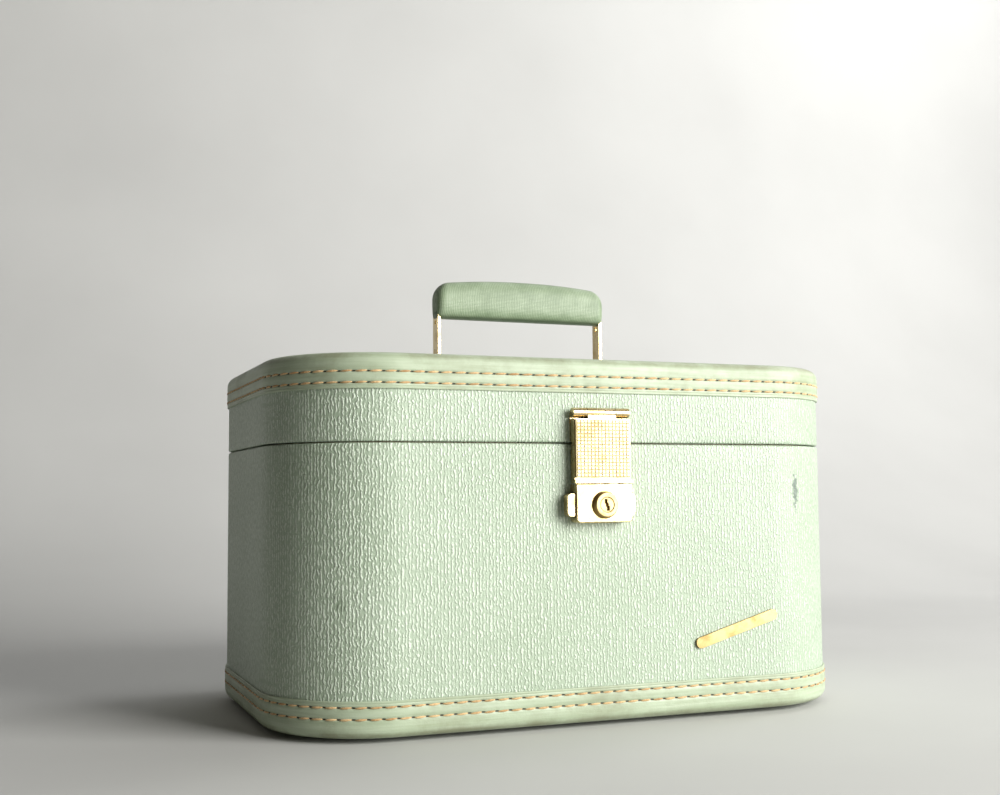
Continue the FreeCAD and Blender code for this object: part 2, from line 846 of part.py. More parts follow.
# ---------------------------------------------------------------- the lid's mirror
def mirror_slab(name, grow, low, high):
    """A slab of the mirror's outline, grown by a margin, on the lid's ceiling."""
    width, depth = f"mirror_length + 2 * ({grow})", f"mirror_width + 2 * ({grow})"
    return slab(name, width, depth, f"mirror_radius + ({grow})", low, high)


card_low = f"({CEILING} - mirror_card)"
glass_low = f"({card_low} - mirror_glass)"
node("mirror_backing", mirror_slab("mirror_backing", "0", card_low, CEILING))
node("mirror_glass", mirror_slab("mirror_glass", "0", glass_low, card_low))
node(
    "mirror_frame",
    cut(
        "mirror_frame",
        mirror_slab("mirror_frame_block", "frame_wall", f"{glass_low} - frame_face", CEILING),
        mirror_slab("mirror_frame_rebate", "mirror_clear", glass_low, f"{CEILING} + 1"),
        mirror_slab("mirror_frame_window", "-frame_lip", f"{glass_low} - frame_face - 1", CEILING),
    ),
)

# ---------------------------------------------------------------- rear stop hinges
half_leaf = "hinge_width / 2"
half_middle = "hinge_middle / 2"
leaf_y = (BACK, f"{BACK} + hinge_plate")
hinge_line = (HINGE_Y, SEAM)


def at_hinge(start, end):
    """A span along X, counted from the middle of the hinge on the right."""
    return (f"hinge_place + ({start})", f"hinge_place + ({end})")


def hinge_bore(name):
    return rod(name, "x", at_hinge("-hinge_width", "hinge_width"), hinge_line, "hinge_pin_radius + pin_clear")


def leaf_rivet_holes(name, height):
    spots = [(f"hinge_place {sign} hinge_rivet_place", height) for sign in "+-"]
    return hole_set(name, "y", (f"{BACK} - 1", f"{BACK} + hinge_plate + 1"), spots)


hinge_stop = group(
    "hinge_stop",
    box(
        "hinge_stop_tongue",
        (f"-{half_middle}", half_middle),
        (f"-{STOP_TOP}", f"stop_thick - {STOP_TOP}"),
        ("0", "barrel_radius + stop_reach"),
    ),
)
hinge_stop.Placement = FreeCAD.Placement(FreeCAD.Vector(), FreeCAD.Rotation(FreeCAD.Vector(-1, 0, 0), 1))
bind(
    hinge_stop,
    Placement__Base__x="hinge_place",
    Placement__Base__y=HINGE_Y,
    Placement__Base__z=SEAM,
    Placement__Rotation__Angle="lid_swing * 1deg",
)
leaf_x = at_hinge(f"-{half_leaf}", half_leaf)
middle_x = at_hinge(f"-{half_middle}", half_middle)
body_leaf = cut(
    "hinge_body_leaf",
    fuse(
        "hinge_body_leaf_whole",
        box("body_leaf_plate", leaf_x, leaf_y, (f"{SEAM} - hinge_leaf", f"{SEAM} - leaf_start")),
        box("body_leaf_web", middle_x, leaf_y, (f"{SEAM} - leaf_start - 1", SEAM)),
        rod("body_knuckle", "x", middle_x, hinge_line, "barrel_radius"),
        hinge_stop,
    ),
    hinge_bore("body_leaf_bore"),
    leaf_rivet_holes("body_leaf_holes", BODY_HINGE_RIVETS),
)
lid_leaf_pieces = [
    box("lid_leaf_plate", leaf_x, leaf_y, (f"{SEAM} + leaf_start", f"{SEAM} + hinge_leaf")),
]
for side, span in {
    "left": (f"-{half_leaf}", f"-{half_middle} - knuckle_gap"),
    "right": (f"{half_middle} + knuckle_gap", half_leaf),
}.items():
    web_z = (SEAM, f"{SEAM} + leaf_start + 1")
    lid_leaf_pieces.append(box(f"lid_leaf_web_{side}", at_hinge(*span), leaf_y, web_z))
    lid_leaf_pieces.append(rod(f"lid_knuckle_{side}", "x", at_hinge(*span), hinge_line, "barrel_radius"))
lid_leaf = cut(
    "hinge_lid_leaf",
    fuse("hinge_lid_leaf_whole", *lid_leaf_pieces),
    hinge_bore("lid_leaf_bore"),
    leaf_rivet_holes("lid_leaf_holes", LID_HINGE_RIVETS),
)
node("hinge_body_leaves", pair("hinge_body_leaves", body_leaf))
node("hinge_lid_leaves", pair("hinge_lid_leaves", lid_leaf))
hinge_pin = rod("hinge_pin", "x", at_hinge(f"-{half_leaf}", half_leaf), hinge_line, "hinge_pin_radius")
node("hinge_pins", pair("hinge_pins", hinge_pin))


def rivet_set(name, axis, seat, grip, spots, outward):
    """One node of identical rivets."""
    rivets = [rivet(f"{name}_{n}", axis, seat, grip, at, outward) for n, at in enumerate(spots)]
    return node(name, group(name, *rivets))


for name, height in {"hinge_body_rivets": BODY_HINGE_RIVETS, "hinge_lid_rivets": LID_HINGE_RIVETS}.items():
    spots = [(x, height) for x in hinge_rivet_xs]
    rivet_set(name, "y", f"({BACK} + hinge_plate)", f"hinge_plate + {BOARD_IN}", spots, 1)

# ---------------------------------------------------------------- the lock
half_lock = "(lock_width / 2)"
inner_lock = f"({half_lock} - lock_wall)"
tab_z = (f"{LOCK_MID} - tab_height / 2", f"{LOCK_MID} + tab_height / 2")
finger_x = (f"{NOSE_START} + nose_length", f"{NOSE_START} + nose_length + finger_width")
plate_y = (out("lock_plate"), FRONT)
slider_y = (out(SLIDER_FRONT), out("slider_back"))

neck_z = (f"{LOCK_TOP} - lock_wall - 2", f"{SEAM} - neck_seam_gap")
node(
    "lock_plate",
    cut(
        "lock_plate",
        fuse(
            "lock_plate_whole",
            box(
                "lock_plate_main",
                (f"lock_clear - {inner_lock}", f"{inner_lock} - lock_clear"),
                plate_y,
                (f"{LOCK_LOW} + lock_wall + lock_clear", f"{LOCK_TOP} - lock_wall - lock_clear"),
            ),
            box("lock_plate_neck", ("-neck_width / 2", "neck_width / 2"), plate_y, neck_z),
            box(
                "spring_post",
                ("0", "spring_lug"),
                (out("slider_back + 2 * spring_radius"), FRONT),
                (f"{SPRING_Z} - spring_radius", f"{SPRING_Z} + spring_radius"),
            ),
        ),
        hole_set("lock_plate_holes", "y", (out("lock_plate + 1"), f"{FRONT} + 1"), lock_rivet_spots),
    ),
)
rivet_set("lock_rivets", "y", out("lock_plate"), f"lock_plate + {BOARD_IN}", lock_rivet_spots, -1)

beyond_lock = f"({half_lock} + 2 * lock_wall)"
node(
    "lock_cover",
    cut(
        "lock_cover",
        plate(
            "lock_cover_block",
            (f"-{half_lock}", half_lock),
            (LOCK_LOW, LOCK_TOP),
            (out("lock_depth"), FRONT),
            [("lock_round", low_corner), ("lock_edge", at_front)],
        ),
        box(
            "lock_cover_hollow",
            (f"-{inner_lock}", inner_lock),
            (out("lock_depth - lock_wall"), f"{FRONT} + 1"),
            (f"{LOCK_LOW} + lock_wall", f"{LOCK_TOP} - lock_wall"),
        ),
        box(
            "slider_window",
            (f"-{beyond_lock}", beyond_lock),
            (out("tab_front + slide_clear"), out("tab_back - slide_clear")),
            (f"{tab_z[0]} - slide_clear", f"{tab_z[1]} + slide_clear"),
        ),
        box(
            "finger_slot",
            (f"{finger_x[0]} - slide_clear", f"{finger_x[1]} + slider_travel + slide_clear"),
            (f"{slider_y[0]} - slide_clear", f"{slider_y[1]} + slide_clear"),
            (f"{LOCK_TOP} - 2 * lock_wall", f"{LOCK_TOP} + 1"),
        ),
        box(
            "neck_slot",
            ("-(neck_width / 2 + lock_clear)", "neck_width / 2 + lock_clear"),
            (out("lock_plate + lock_clear"), f"{FRONT} + 1"),
            (f"{LOCK_TOP} - 2 * lock_wall", f"{LOCK_TOP} + 1"),
        ),
        rod(
            "sleeve_hole",
            "y",
            (out("lock_depth + 1"), out("lock_depth - 2 * lock_wall")),
            ("0", LOCK_MID),
            "sleeve_radius + pin_clear",
        ),
    ),
)
ring_span = (out("lock_depth + ring_height"), out("lock_depth"))
sleeve_span = (ring_span[1], out("lock_depth - sleeve_length"))
bore_span = (out("lock_depth + ring_height + 1"), FRONT)
node(
    "key_ring",
    cut(
        "key_ring",
        fuse(
            "key_ring_whole",
            cone("key_ring_boss", "y", ring_span, ("0", LOCK_MID), "ring_face_radius", "ring_radius"),
            rod("key_ring_sleeve", "y", sleeve_span, ("0", LOCK_MID), "sleeve_radius"),
        ),
        rod("key_ring_bore", "y", bore_span, ("0", LOCK_MID), "plug_radius + plug_clear"),
    ),
)

# the key plug with its stepped keyway, and the cam on its tail
plug_y = (out("lock_depth + ring_height - plug_set_back"), out("lock_depth - plug_tail"))
keyway_y = (f"{plug_y[0]} - 1", f"{plug_y[0]} + keyway_depth")
keyway = [
    box(
        f"keyway_{n}",
        (f"{shift} * keyway_jog - keyway_width / 2", f"{shift} * keyway_jog + keyway_width / 2"),
        keyway_y,
        (f"{LOCK_MID} + ({low}) * keyway_height / 6", f"{LOCK_MID} + ({high}) * keyway_height / 6"),
    )
    for n, (shift, low, high) in enumerate([(-1, 0.6, 3), (0, -1, 1), (1, -3, -0.6)])
]
node(
    "key_plug",
    cut(
        "key_plug",
        rod("key_plug_barrel", "y", plug_y, ("0", LOCK_MID), "plug_radius"),
        fuse("keyway", *keyway),
    ),
)
node(
    "lock_cam",
    box(
        "lock_cam",
        ("-cam_width / 2", "cam_width / 2"),
        (plug_y[1], f"{plug_y[1]} + cam_thick"),
        (f"{LOCK_MID} - cam_length", f"{LOCK_MID} + cam_width / 2"),
    ),
)

# the release slider: thumb tabs at both sides, a finger behind the hasp with the bolt nose, a dog
tab_y = (out("tab_front"), out("tab_back"))
left_tab_x = ("-slider_left", "tab_width - slider_left")
right_tab_x = ("slider_right - tab_width", "slider_right")
slider_top = f"({LOCK_MID} + slider_height / 2)"
nose_z = (f"{CATCH_Z} - nose_height / 2", f"{CATCH_Z} + nose_height / 2")


node(
    "release_slider",
    fuse(
        "release_slider",
        box(
            "slider_plate",
            (f"{left_tab_x[0]} + 1", f"{right_tab_x[1]} - 1"),
            slider_y,
            (f"{LOCK_MID} - slider_height / 2", slider_top),
        ),
        plate("left_tab", left_tab_x, tab_z, tab_y, [("tab_round", left_corner)]),
        plate("right_tab", right_tab_x, tab_z, tab_y, [("tab_round", right_corner)]),
        box("slider_finger", finger_x, slider_y, (f"{slider_top} - 1", nose_z[1])),
        box("bolt_nose", (NOSE_START, f"{finger_x[0]} + 1"), slider_y, nose_z),
        box(
            "slider_dog",
            ("-dog_place", "dog_width - dog_place"),
            (out(f"{SLIDER_FRONT} + dog_thick"), out("slider_back")),
            (f"{LOCK_MID} - dog_height / 2", f"{LOCK_MID} + dog_height / 2"),
        ),
        box(
            "slider_spring_seat",
            ("-(spring_place + spring_lug)", "-spring_place"),
            slider_y,
            (f"{slider_top} - 1", f"{SPRING_Z} + spring_radius"),
        ),
    ),
)

spring_line = doc.addObject("Part::Helix", "spring_line")
bind(
    spring_line,
    Radius="spring_radius",
    Height="spring_place - spring_wire",
    Pitch="(spring_place - spring_wire) / spring_turns",
)
spring_section = doc.addObject("Part::Circle", "spring_section")
spring_section.Placement = FreeCAD.Placement(FreeCAD.Vector(), TURNS["y"])
bind(spring_section, Radius="spring_wire / 2", Placement__Base__x="spring_radius")
spring_wire = doc.addObject("Part::Sweep", "release_spring")
spring_wire.Sections = [spring_section]
spring_wire.Spine = (spring_line, [])
spring_wire.Solid = True
spring_wire.Frenet = True
spring_middle = (out("slider_back + spring_radius"), SPRING_Z)
place_round(spring_wire, "x", "-spring_place + spring_wire / 2", spring_middle)
node("release_spring", spring_wire)

# ---------------------------------------------------------------- the hasp
half_hasp = "(hasp_width / 2)"
half_knuckle = "(hasp_knuckle / 2)"
hasp_line = (out("hasp_axis_stand"), HASP_AXIS)
hasp_face = "(hasp_stand + hasp_plate)"


def hasp_bore(name):
    return rod(name, "x", ("-hasp_width", "hasp_width"), hasp_line, "hasp_pin_radius + pin_clear")


base_pieces = [
    box(
        "hasp_base_plate",
        (f"-{half_hasp}", half_hasp),
        (out("hasp_base_plate"), FRONT),
        (f"{LID_LOW} + hasp_base_gap", HASP_AXIS),
    )
]
for side, span in {
    "left": (f"-{half_hasp}", f"-{half_knuckle} - knuckle_gap"),
    "right": (f"{half_knuckle} + knuckle_gap", half_hasp),
}.items():
    base_pieces.append(rod(f"hasp_base_knuckle_{side}", "x", span, hasp_line, "hasp_barrel"))
    link_y = (out("hasp_axis_stand"), out("hasp_base_plate / 2"))
    base_pieces.append(box(f"hasp_base_link_{side}", span, link_y, (f"{HASP_AXIS} - hasp_barrel", HASP_AXIS)))
node(
    "hasp_base",
    cut(
        "hasp_base",
        fuse("hasp_base_whole", *base_pieces),
        hasp_bore("hasp_base_bore"),
        hole_set("hasp_base_holes", "y", (out("hasp_base_plate + 1"), f"{FRONT} + 1"), hasp_rivet_spots),
    ),
)
rivet_set("hasp_rivets", "y", out("hasp_base_plate"), f"hasp_base_plate + {BOARD_IN}", hasp_rivet_spots, -1)
node("hasp_pin", rod("hasp_pin", "x", (f"-{half_hasp}", half_hasp), hasp_line, "hasp_pin_radius"))

hasp_y = (out(hasp_face), out("hasp_stand"))
middle_x = (f"-{half_knuckle}", half_knuckle)
half_lip = f"({half_hasp} + hasp_lip_wide)"
flange = box(
    "hasp_flange",
    (f"{half_hasp} - hasp_flange", half_hasp),
    (hasp_y[0], out("hasp_flange_back")),
    (HASP_LOW, HASP_HIGH),
)
lip_y = (out(f"{hasp_face} + hasp_lip_proud"), hasp_y[1])
node(
    "hasp_plate",
    cut(
        "hasp_plate",
        fuse(
            "hasp_plate_whole",
            box("hasp_main_plate", (f"-{half_hasp}", half_hasp), hasp_y, (HASP_LOW, HASP_HIGH)),
            box("hasp_middle_link", middle_x, hasp_y, (f"{HASP_HIGH} - 1", HASP_AXIS)),
            rod("hasp_middle_knuckle", "x", middle_x, hasp_line, "hasp_barrel"),
            pair("hasp_flanges", flange),
            plate("hasp_lip", (f"-{half_lip}", half_lip), (HASP_LOW, f"{HASP_LOW} + hasp_lip_height"), lip_y),
        ),
        hasp_bore("hasp_plate_bore"),
    ),
)
node(
    "hasp_pad",
    plate(
        "hasp_pad",
        ("-pad_width / 2", "pad_width / 2"),
        (f"{HASP_LOW} + hasp_lip_height + pad_low_gap", f"{HASP_AXIS} - pad_top_gap"),
        (out(f"{hasp_face} + pad_thick"), hasp_y[0]),
        [("pad_round", any_corner)],
    ),
)
catch_z = (f"{CATCH_Z} - catch_height / 2", f"{CATCH_Z} + catch_height / 2")
node(
    "hasp_staple",
    cut(
        "hasp_staple",
        box("staple_block", ("-catch_width / 2", "catch_width / 2"), (hasp_y[1], out("catch_back")), catch_z),
        box(
            "staple_eye",
            ("-catch_width", "catch_width"),
            (f"{slider_y[0]} - lock_clear", f"{slider_y[1]} + lock_clear"),
            (f"{catch_z[0]} + catch_wall", f"{catch_z[1]} - catch_wall"),
        ),
    ),
)

# ---------------------------------------------------------------- the handle
middle_y = CENTRE_Y


def along_depth(half):
    return (f"{middle_y} - ({half})", f"{middle_y} + ({half})")


ear_inner = "(arm_thick / 2 + ear_gap)"
ear_outer = f"({ear_inner} + ear_thick)"
pivot_line = (middle_y, PIVOT_Z)
plate_top = f"({TOP} + bracket_plate)"
bracket_pieces = [
    box(
        "bracket_base",
        (f"{ARM_X} - bracket_width / 2", f"{ARM_X} + bracket_width / 2"),
        along_depth("bracket_length / 2"),
        (TOP, plate_top),
    )
]
for side, span in {
    "inner": (f"{ARM_X} - {ear_outer}", f"{ARM_X} - {ear_inner}"),
    "outer": (f"{ARM_X} + {ear_inner}", f"{ARM_X} + {ear_outer}"),
}.items():
    bracket_pieces.append(box(f"ear_{side}", span, along_depth("ear_radius"), (TOP, PIVOT_Z)))
    bracket_pieces.append(rod(f"ear_{side}_round", "x", span, pivot_line, "ear_radius"))
bracket_spots = [(ARM_X, f"{CENTRE_Y} {sign} bracket_rivet_place") for sign in "+-"]
bore_x = (f"{ARM_X} - bracket_width", f"{ARM_X} + bracket_width")
bracket = cut(
    "bracket",
    fuse("bracket_whole", *bracket_pieces),
    rod("bracket_bore", "x", bore_x, pivot_line, "pivot_radius + pin_clear"),
    hole_set("bracket_rivet_holes", "z", (f"{TOP} - 1", f"{plate_top} + 1"), bracket_spots),
)
node("handle_brackets", pair("handle_brackets", bracket))
rivet_set("bracket_rivets", "z", plate_top, f"bracket_plate + {BOARD_IN}", bracket_rivet_spots, 1)
shank_x = (f"{ARM_X} - {ear_outer}", f"{ARM_X} + {ear_outer}")
pivot_pieces = [rod("pivot_shank", "x", shank_x, pivot_line, "pivot_radius")]
for side, span in {
    "inner": (f"{ARM_X} - {ear_outer} - pivot_head_thick", f"{ARM_X} - {ear_outer}"),
    "outer": (f"{ARM_X} + {ear_outer}", f"{ARM_X} + {ear_outer} + pivot_head_thick"),
}.items():
    pivot_pieces.append(rod(f"pivot_head_{side}", "x", span, pivot_line, "pivot_head"))
node("handle_pivots", pair("handle_pivots", fuse("handle_pivot", *pivot_pieces)))

strap_top = f"({GRIP_LOW} + strap_rise)"
arm_x = (f"{ARM_X} - arm_thick / 2", f"{ARM_X} + arm_thick / 2")
arm_y = along_depth("arm_width / 2")


def strap(name, grow):
    """The arms' tops and the bar between them, grown by a clearance, where they lie in the grip."""
    arm = box(
        f"{name}_arm",
        (f"{arm_x[0]} - {grow}", f"{arm_x[1]} + {grow}"),
        (f"{arm_y[0]} - {grow}", f"{arm_y[1]} + {grow}"),
        (PIVOT_Z, f"{strap_top} + {grow}"),
    )
    bar = box(
        f"{name}_bar",
        (f"-({arm_x[0]} - {grow})", f"{arm_x[0]} - {grow}"),
        (f"{arm_y[0]} - {grow}", f"{arm_y[1]} + {grow}"),
        (f"{strap_top} - arm_thick - {grow}", f"{strap_top} + {grow}"),
    )
    return fuse(name, arm, bar, mirrored(f"{name}_arm_other", arm))


arm_foot = rod("arm_foot", "x", arm_x, pivot_line, "arm_width / 2")
across_arms = ("-arm_spread", "arm_spread")
arm_hole_z = f"{GRIP_LOW} - arm_hole_drop"
node(
    "handle_strap",
    cut(
        "handle_strap",
        fuse("handle_strap_whole", strap("strap_upper", "0"), pair("arm_feet", arm_foot)),
        rod("arm_pivot_bore", "x", across_arms, pivot_line, "pivot_radius + pin_clear"),
        rod("arm_empty_hole", "x", across_arms, (middle_y, arm_hole_z), "arm_hole_radius"),
    ),
)


def grip_block(name, inset):
    """The grip's outer form, set in by a margin."""
    return plate(
        name,
        (f"-(grip_length / 2 - ({inset}))", f"grip_length / 2 - ({inset})"),
        (f"{GRIP_LOW} + ({inset})", f"{GRIP_LOW} + grip_height - ({inset})"),
        along_depth(f"grip_thick / 2 - ({inset})"),
        [
            (f"grip_end_round - ({inset})", high_corner),
            (f"grip_edge_round - ({inset})", at_front),
            (f"grip_edge_round - ({inset})", at_back),
        ],
    )


def grip_notches(name):
    """What the grip's ends leave out, so that the strap's outer sides show at the bottom."""
    notch_x = (f"{arm_x[1]} + strap_clear", "grip_length")
    notch_z = (f"{GRIP_LOW} - 1", f"{GRIP_LOW} + grip_notch")
    return pair(name, box(f"{name}_one", notch_x, along_depth("grip_thick"), notch_z))


node(
    "grip_core",
    cut(
        "grip_core",
        grip_block("grip_core_block", "grip_skin + glue_gap"),
        strap("strap_room", "strap_clear"),
        grip_notches("core_notches"),
    ),
)
node(
    "grip_cover",
    cut(
        "grip_cover",
        grip_block("grip_cover_block", "0"),
        grip_block("grip_cover_hollow", "grip_skin"),
        strap("strap_mouth", "strap_clear"),
        grip_notches("cover_notches"),
    ),
)

# ---------------------------------------------------------------- the badge
badge_plate = plate(
    "badge_plate",
    ("-badge_length / 2", "badge_length / 2"),
    ("-badge_width / 2", "badge_width / 2"),
    ("-badge_thick", "0"),
    [("badge_round", any_corner)],
)
badge_pins = badge_pin_rods("badge_pin", "badge_pin_radius", "board")
node("badge", badge_part("badge", fuse("badge_whole", badge_plate, badge_pins)))

# ---------------------------------------------------------------- check every piece, then write them
doc.recompute()
failed = [o.Name for o in doc.Objects if {"Invalid", "Error"} & set(o.State)]
bad = [label for label, thing in nodes.items() if thing.Shape.isNull() or not thing.Shape.isValid()]
if failed or bad:
    raise RuntimeError(f"failed objects {failed}, bad shapes {bad}")

os.makedirs("parts", exist_ok=True)
for label, thing in nodes.items():
    thing.Shape.exportStep(f"parts/{label}.step")
    print(label, len(thing.Shape.Solids), round(thing.Shape.Volume, 1))
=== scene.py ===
import math
import random

import bmesh
import bpy
from mathutils import Matrix, Vector, noise


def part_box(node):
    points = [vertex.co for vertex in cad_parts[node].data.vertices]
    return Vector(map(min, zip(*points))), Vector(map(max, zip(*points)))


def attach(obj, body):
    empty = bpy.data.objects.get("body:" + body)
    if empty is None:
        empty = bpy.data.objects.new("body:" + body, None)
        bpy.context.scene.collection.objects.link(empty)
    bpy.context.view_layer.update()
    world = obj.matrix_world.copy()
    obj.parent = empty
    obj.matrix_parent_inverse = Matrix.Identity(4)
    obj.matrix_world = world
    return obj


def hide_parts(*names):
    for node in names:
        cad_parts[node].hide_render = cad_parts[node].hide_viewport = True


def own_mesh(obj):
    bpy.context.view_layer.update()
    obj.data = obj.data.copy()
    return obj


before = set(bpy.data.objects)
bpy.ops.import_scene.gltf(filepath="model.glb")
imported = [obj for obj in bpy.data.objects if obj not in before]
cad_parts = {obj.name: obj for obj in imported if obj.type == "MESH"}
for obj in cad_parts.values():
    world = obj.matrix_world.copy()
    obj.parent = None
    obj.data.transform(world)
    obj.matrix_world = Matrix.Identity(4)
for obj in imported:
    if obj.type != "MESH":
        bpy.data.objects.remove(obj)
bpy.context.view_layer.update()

MM = 0.001
RNG = random.Random(7)

# ------------------------------------------------------------ the case's own sizes, millimetres
COVER_LOW, COVER_HIGH = [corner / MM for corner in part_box("body_cover")]
LID_COVER_LOW, LID_COVER_HIGH = [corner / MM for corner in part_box("lid_cover")]
MIDDLE_Y = (COVER_LOW.y + COVER_HIGH.y) / 2
HALF_WIDTH = COVER_HIGH.x
HALF_DEPTH = COVER_HIGH.y - MIDDLE_Y
CORNER = 60.0
EDGE = 4.8
SKIN = 0.8
BOARD_OUT, BOARD_IN = 1.0, 5.0
LINING_OUT, LINING_IN = 5.2, 6.2
LIP_OUT, LIP_IN = 6.6, 9.1
BASE, BODY_TOP = COVER_LOW.z, COVER_HIGH.z
LID_LOW, TOP = LID_COVER_LOW.z, LID_COVER_HIGH.z
FRONT = MIDDLE_Y - HALF_DEPTH
PERIMETER = 4 * (HALF_WIDTH + HALF_DEPTH - 2 * CORNER) + 2 * math.pi * CORNER
BINDING_PROUD = 1.0
BINDING_SKIN = 0.8
BINDING_HEIGHT = 19.0
BINDING_RETURN = 14.0
FOLD_LINE = 17.6
STITCH_ROWS = (10.0, 15.8)
STITCHES = 136
PITCH = PERIMETER / STITCHES
COLUMNS_PER_STITCH = 8
LEAST_SOIL = 0.72


# ------------------------------------------------------------ making meshes
def smooth(bm, crease=34):
    """Shades a mesh smooth, except over edges that turn by more than the crease angle."""
    for face in bm.faces:
        face.smooth = True
    for edge in bm.edges:
        sharp = len(edge.link_faces) == 2 and edge.calc_face_angle(0) > math.radians(crease)
        edge.smooth = not sharp


def piece(name, bm, body, slot, material, *replaced, crease=34):
    """Turns a mesh in millimetres into a finished piece that rides on a body."""
    bmesh.ops.recalc_face_normals(bm, faces=bm.faces)
    smooth(bm, crease)
    bmesh.ops.scale(bm, vec=(MM, MM, MM), verts=bm.verts)
    mesh = bpy.data.meshes.new(name)
    bm.to_mesh(mesh)
    bm.free()
    mesh.materials.append(material)
    made = bpy.data.objects.new(name, mesh)
    bpy.context.scene.collection.objects.link(made)
    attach(made, body)
    if replaced:
        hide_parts(*replaced)
    return made


def grid_faces(bm, rows, closed_rows, closed_columns):
    """Joins rows of vertices with quads."""
    faces = []
    count = len(rows)
    for r in range(count if closed_rows else count - 1):
        row, following = rows[r], rows[(r + 1) % count]
        width = len(row)
        for c in range(width if closed_columns else width - 1):
            after = (c + 1) % width
            faces.append(bm.faces.new((row[c], following[c], following[after], row[after])))
    return faces


def arc(centre, radius, start, end, steps):
    """Points on an arc, as (first, second) coordinates, angles in degrees."""
    angles = [math.radians(start + (end - start) * k / steps) for k in range(steps + 1)]
    return [(centre[0] + radius * math.cos(a), centre[1] + radius * math.sin(a)) for a in angles]


def line(start, end, steps):
    return [tuple(a + (b - a) * k / steps for a, b in zip(start, end)) for k in range(1, steps)]


def outline_point(s):
    """The place and outward direction on the cover's face at a distance along its outline.
    It starts at the middle of the back and runs round by the right."""
    s %= PERIMETER
    straight_x, straight_y = HALF_WIDTH - CORNER, HALF_DEPTH - CORNER
    quarter = math.pi * CORNER / 2
    legs = [straight_x, quarter, 2 * straight_y, quarter, 2 * straight_x, quarter, 2 * straight_y, quarter]
    starts = [
        Vector((0, HALF_DEPTH)),
        Vector((straight_x, HALF_DEPTH)),
        Vector((HALF_WIDTH, straight_y)),
        Vector((HALF_WIDTH, -straight_y)),
        Vector((straight_x, -HALF_DEPTH)),
        Vector((-straight_x, -HALF_DEPTH)),
        Vector((-HALF_WIDTH, -straight_y)),
        Vector((-HALF_WIDTH, straight_y)),
        Vector((-straight_x, HALF_DEPTH)),
    ]
    for n, leg in enumerate(legs + [straight_x]):
        if s <= leg or n == 8:
            turned = math.radians(-90 * ((n + 1) // 2))
            if n % 2 == 0:
                outward = Vector((0, 1))
                outward.rotate(Matrix.Rotation(turned, 2))
                along = Vector((outward.y, -outward.x))
                return starts[n] + along * s, outward
            angle = math.radians(90 - 90 * (n - 1) / 2) - s / CORNER
            outward = Vector((math.cos(angle), math.sin(angle)))
            before = math.radians(90 - 90 * (n - 1) / 2)
            centre = starts[n] - Vector((math.cos(before), math.sin(before))) * CORNER
            return centre + outward * CORNER, outward
        s -= leg


def sweep(profile, columns, closed=True, push=None, capped=False):
    """Carries a profile of (inset, z) points round the case. Its UV map is in metres: the
    distance round the case, and the distance along the profile."""
    bm = bmesh.new()
    uv = bm.loops.layers.uv.new("sheet")
    along = [0.0]
    for first, second in zip(profile, profile[1:] + profile[:1]):
        along.append(along[-1] + math.dist(first, second))
    rows = []
    for c in range(columns):
        s = PERIMETER * c / columns
        at, outward = outline_point(s)
        row = []
        for k, (inset, z) in enumerate(profile):
            moved = (push(s, inset, z) if push else 0.0) - inset
            place = at + outward * moved
            row.append(bm.verts.new((place.x, place.y + MIDDLE_Y, z)))
        rows.append(row)
    bm.verts.index_update()
    width = len(profile)
    for face in grid_faces(bm, rows, True, closed):
        spots = [(loop.vert.index // width, loop.vert.index % width) for loop in face.loops]
        wraps_round = max(c for c, _ in spots) - min(c for c, _ in spots) > 1
        wraps_along = max(k for _, k in spots) - min(k for _, k in spots) > 1
        for loop, (c, k) in zip(face.loops, spots):
            c = columns if wraps_round and c == 0 else c
            k = width if wraps_along and k == 0 else k
            loop[uv].uv = (PERIMETER * c / columns * MM, along[k] * MM)
    if capped:
        for k in (0, width - 1):
            bm.faces.new([row[k] for row in rows])
        for face in bm.faces:
            heights = [loop.vert.co.z for loop in face.loops]
            if max(heights) - min(heights) < 0.001:
                for loop in face.loops:
                    loop[uv].uv = (loop.vert.co.x * MM, loop.vert.co.y * MM)
    return bm


# ------------------------------------------------------------ making materials
def linear(code, alpha=1.0):
    """An sRGB hex colour as the linear values that the shader takes."""
    parts = [int(code[k : k + 2], 16) / 255 for k in (1, 3, 5)]
    return tuple(p / 12.92 if p <= 0.04045 else ((p + 0.055) / 1.055) ** 2.4 for p in parts) + (alpha,)


def add(material, kind, sockets=None, ramp=None, **settings):
    """Adds a shader node with its settings, and sets or links its sockets."""
    tree = material.node_tree
    made = tree.nodes.new(kind)
    for name, value in settings.items():
        setattr(made, name, value)
    if ramp:
        elements = made.color_ramp.elements
        while len(elements) < len(ramp):
            elements.new(0.5)
        for element, (place, colour) in zip(elements, ramp):
            element.position = place
            element.color = colour
    for key, value in (sockets or {}).items():
        if isinstance(value, bpy.types.Node):
            value = value.outputs[0]
        if isinstance(value, bpy.types.NodeSocket):
            tree.links.new(value, made.inputs[key])
        else:
            made.inputs[key].default_value = value
    return made


def new_material(name):
    """A material with only its output, and the function that adds nodes to it."""
    material = bpy.data.materials.new(name)
    material.use_nodes = True
    material.node_tree.nodes.clear()

    def adder(kind, sockets=None, **settings):
        return add(material, kind, sockets, **settings)

    return material, adder


def finish_material(material, **sockets):
    """Adds the Principled shader; a name's underscores stand for spaces."""
    shader = add(material, "ShaderNodeBsdfPrincipled", {k.replace("_", " "): v for k, v in sockets.items()})
    output = add(material, "ShaderNodeOutputMaterial", {"Surface": shader})
    output.is_active_output = True
    return material


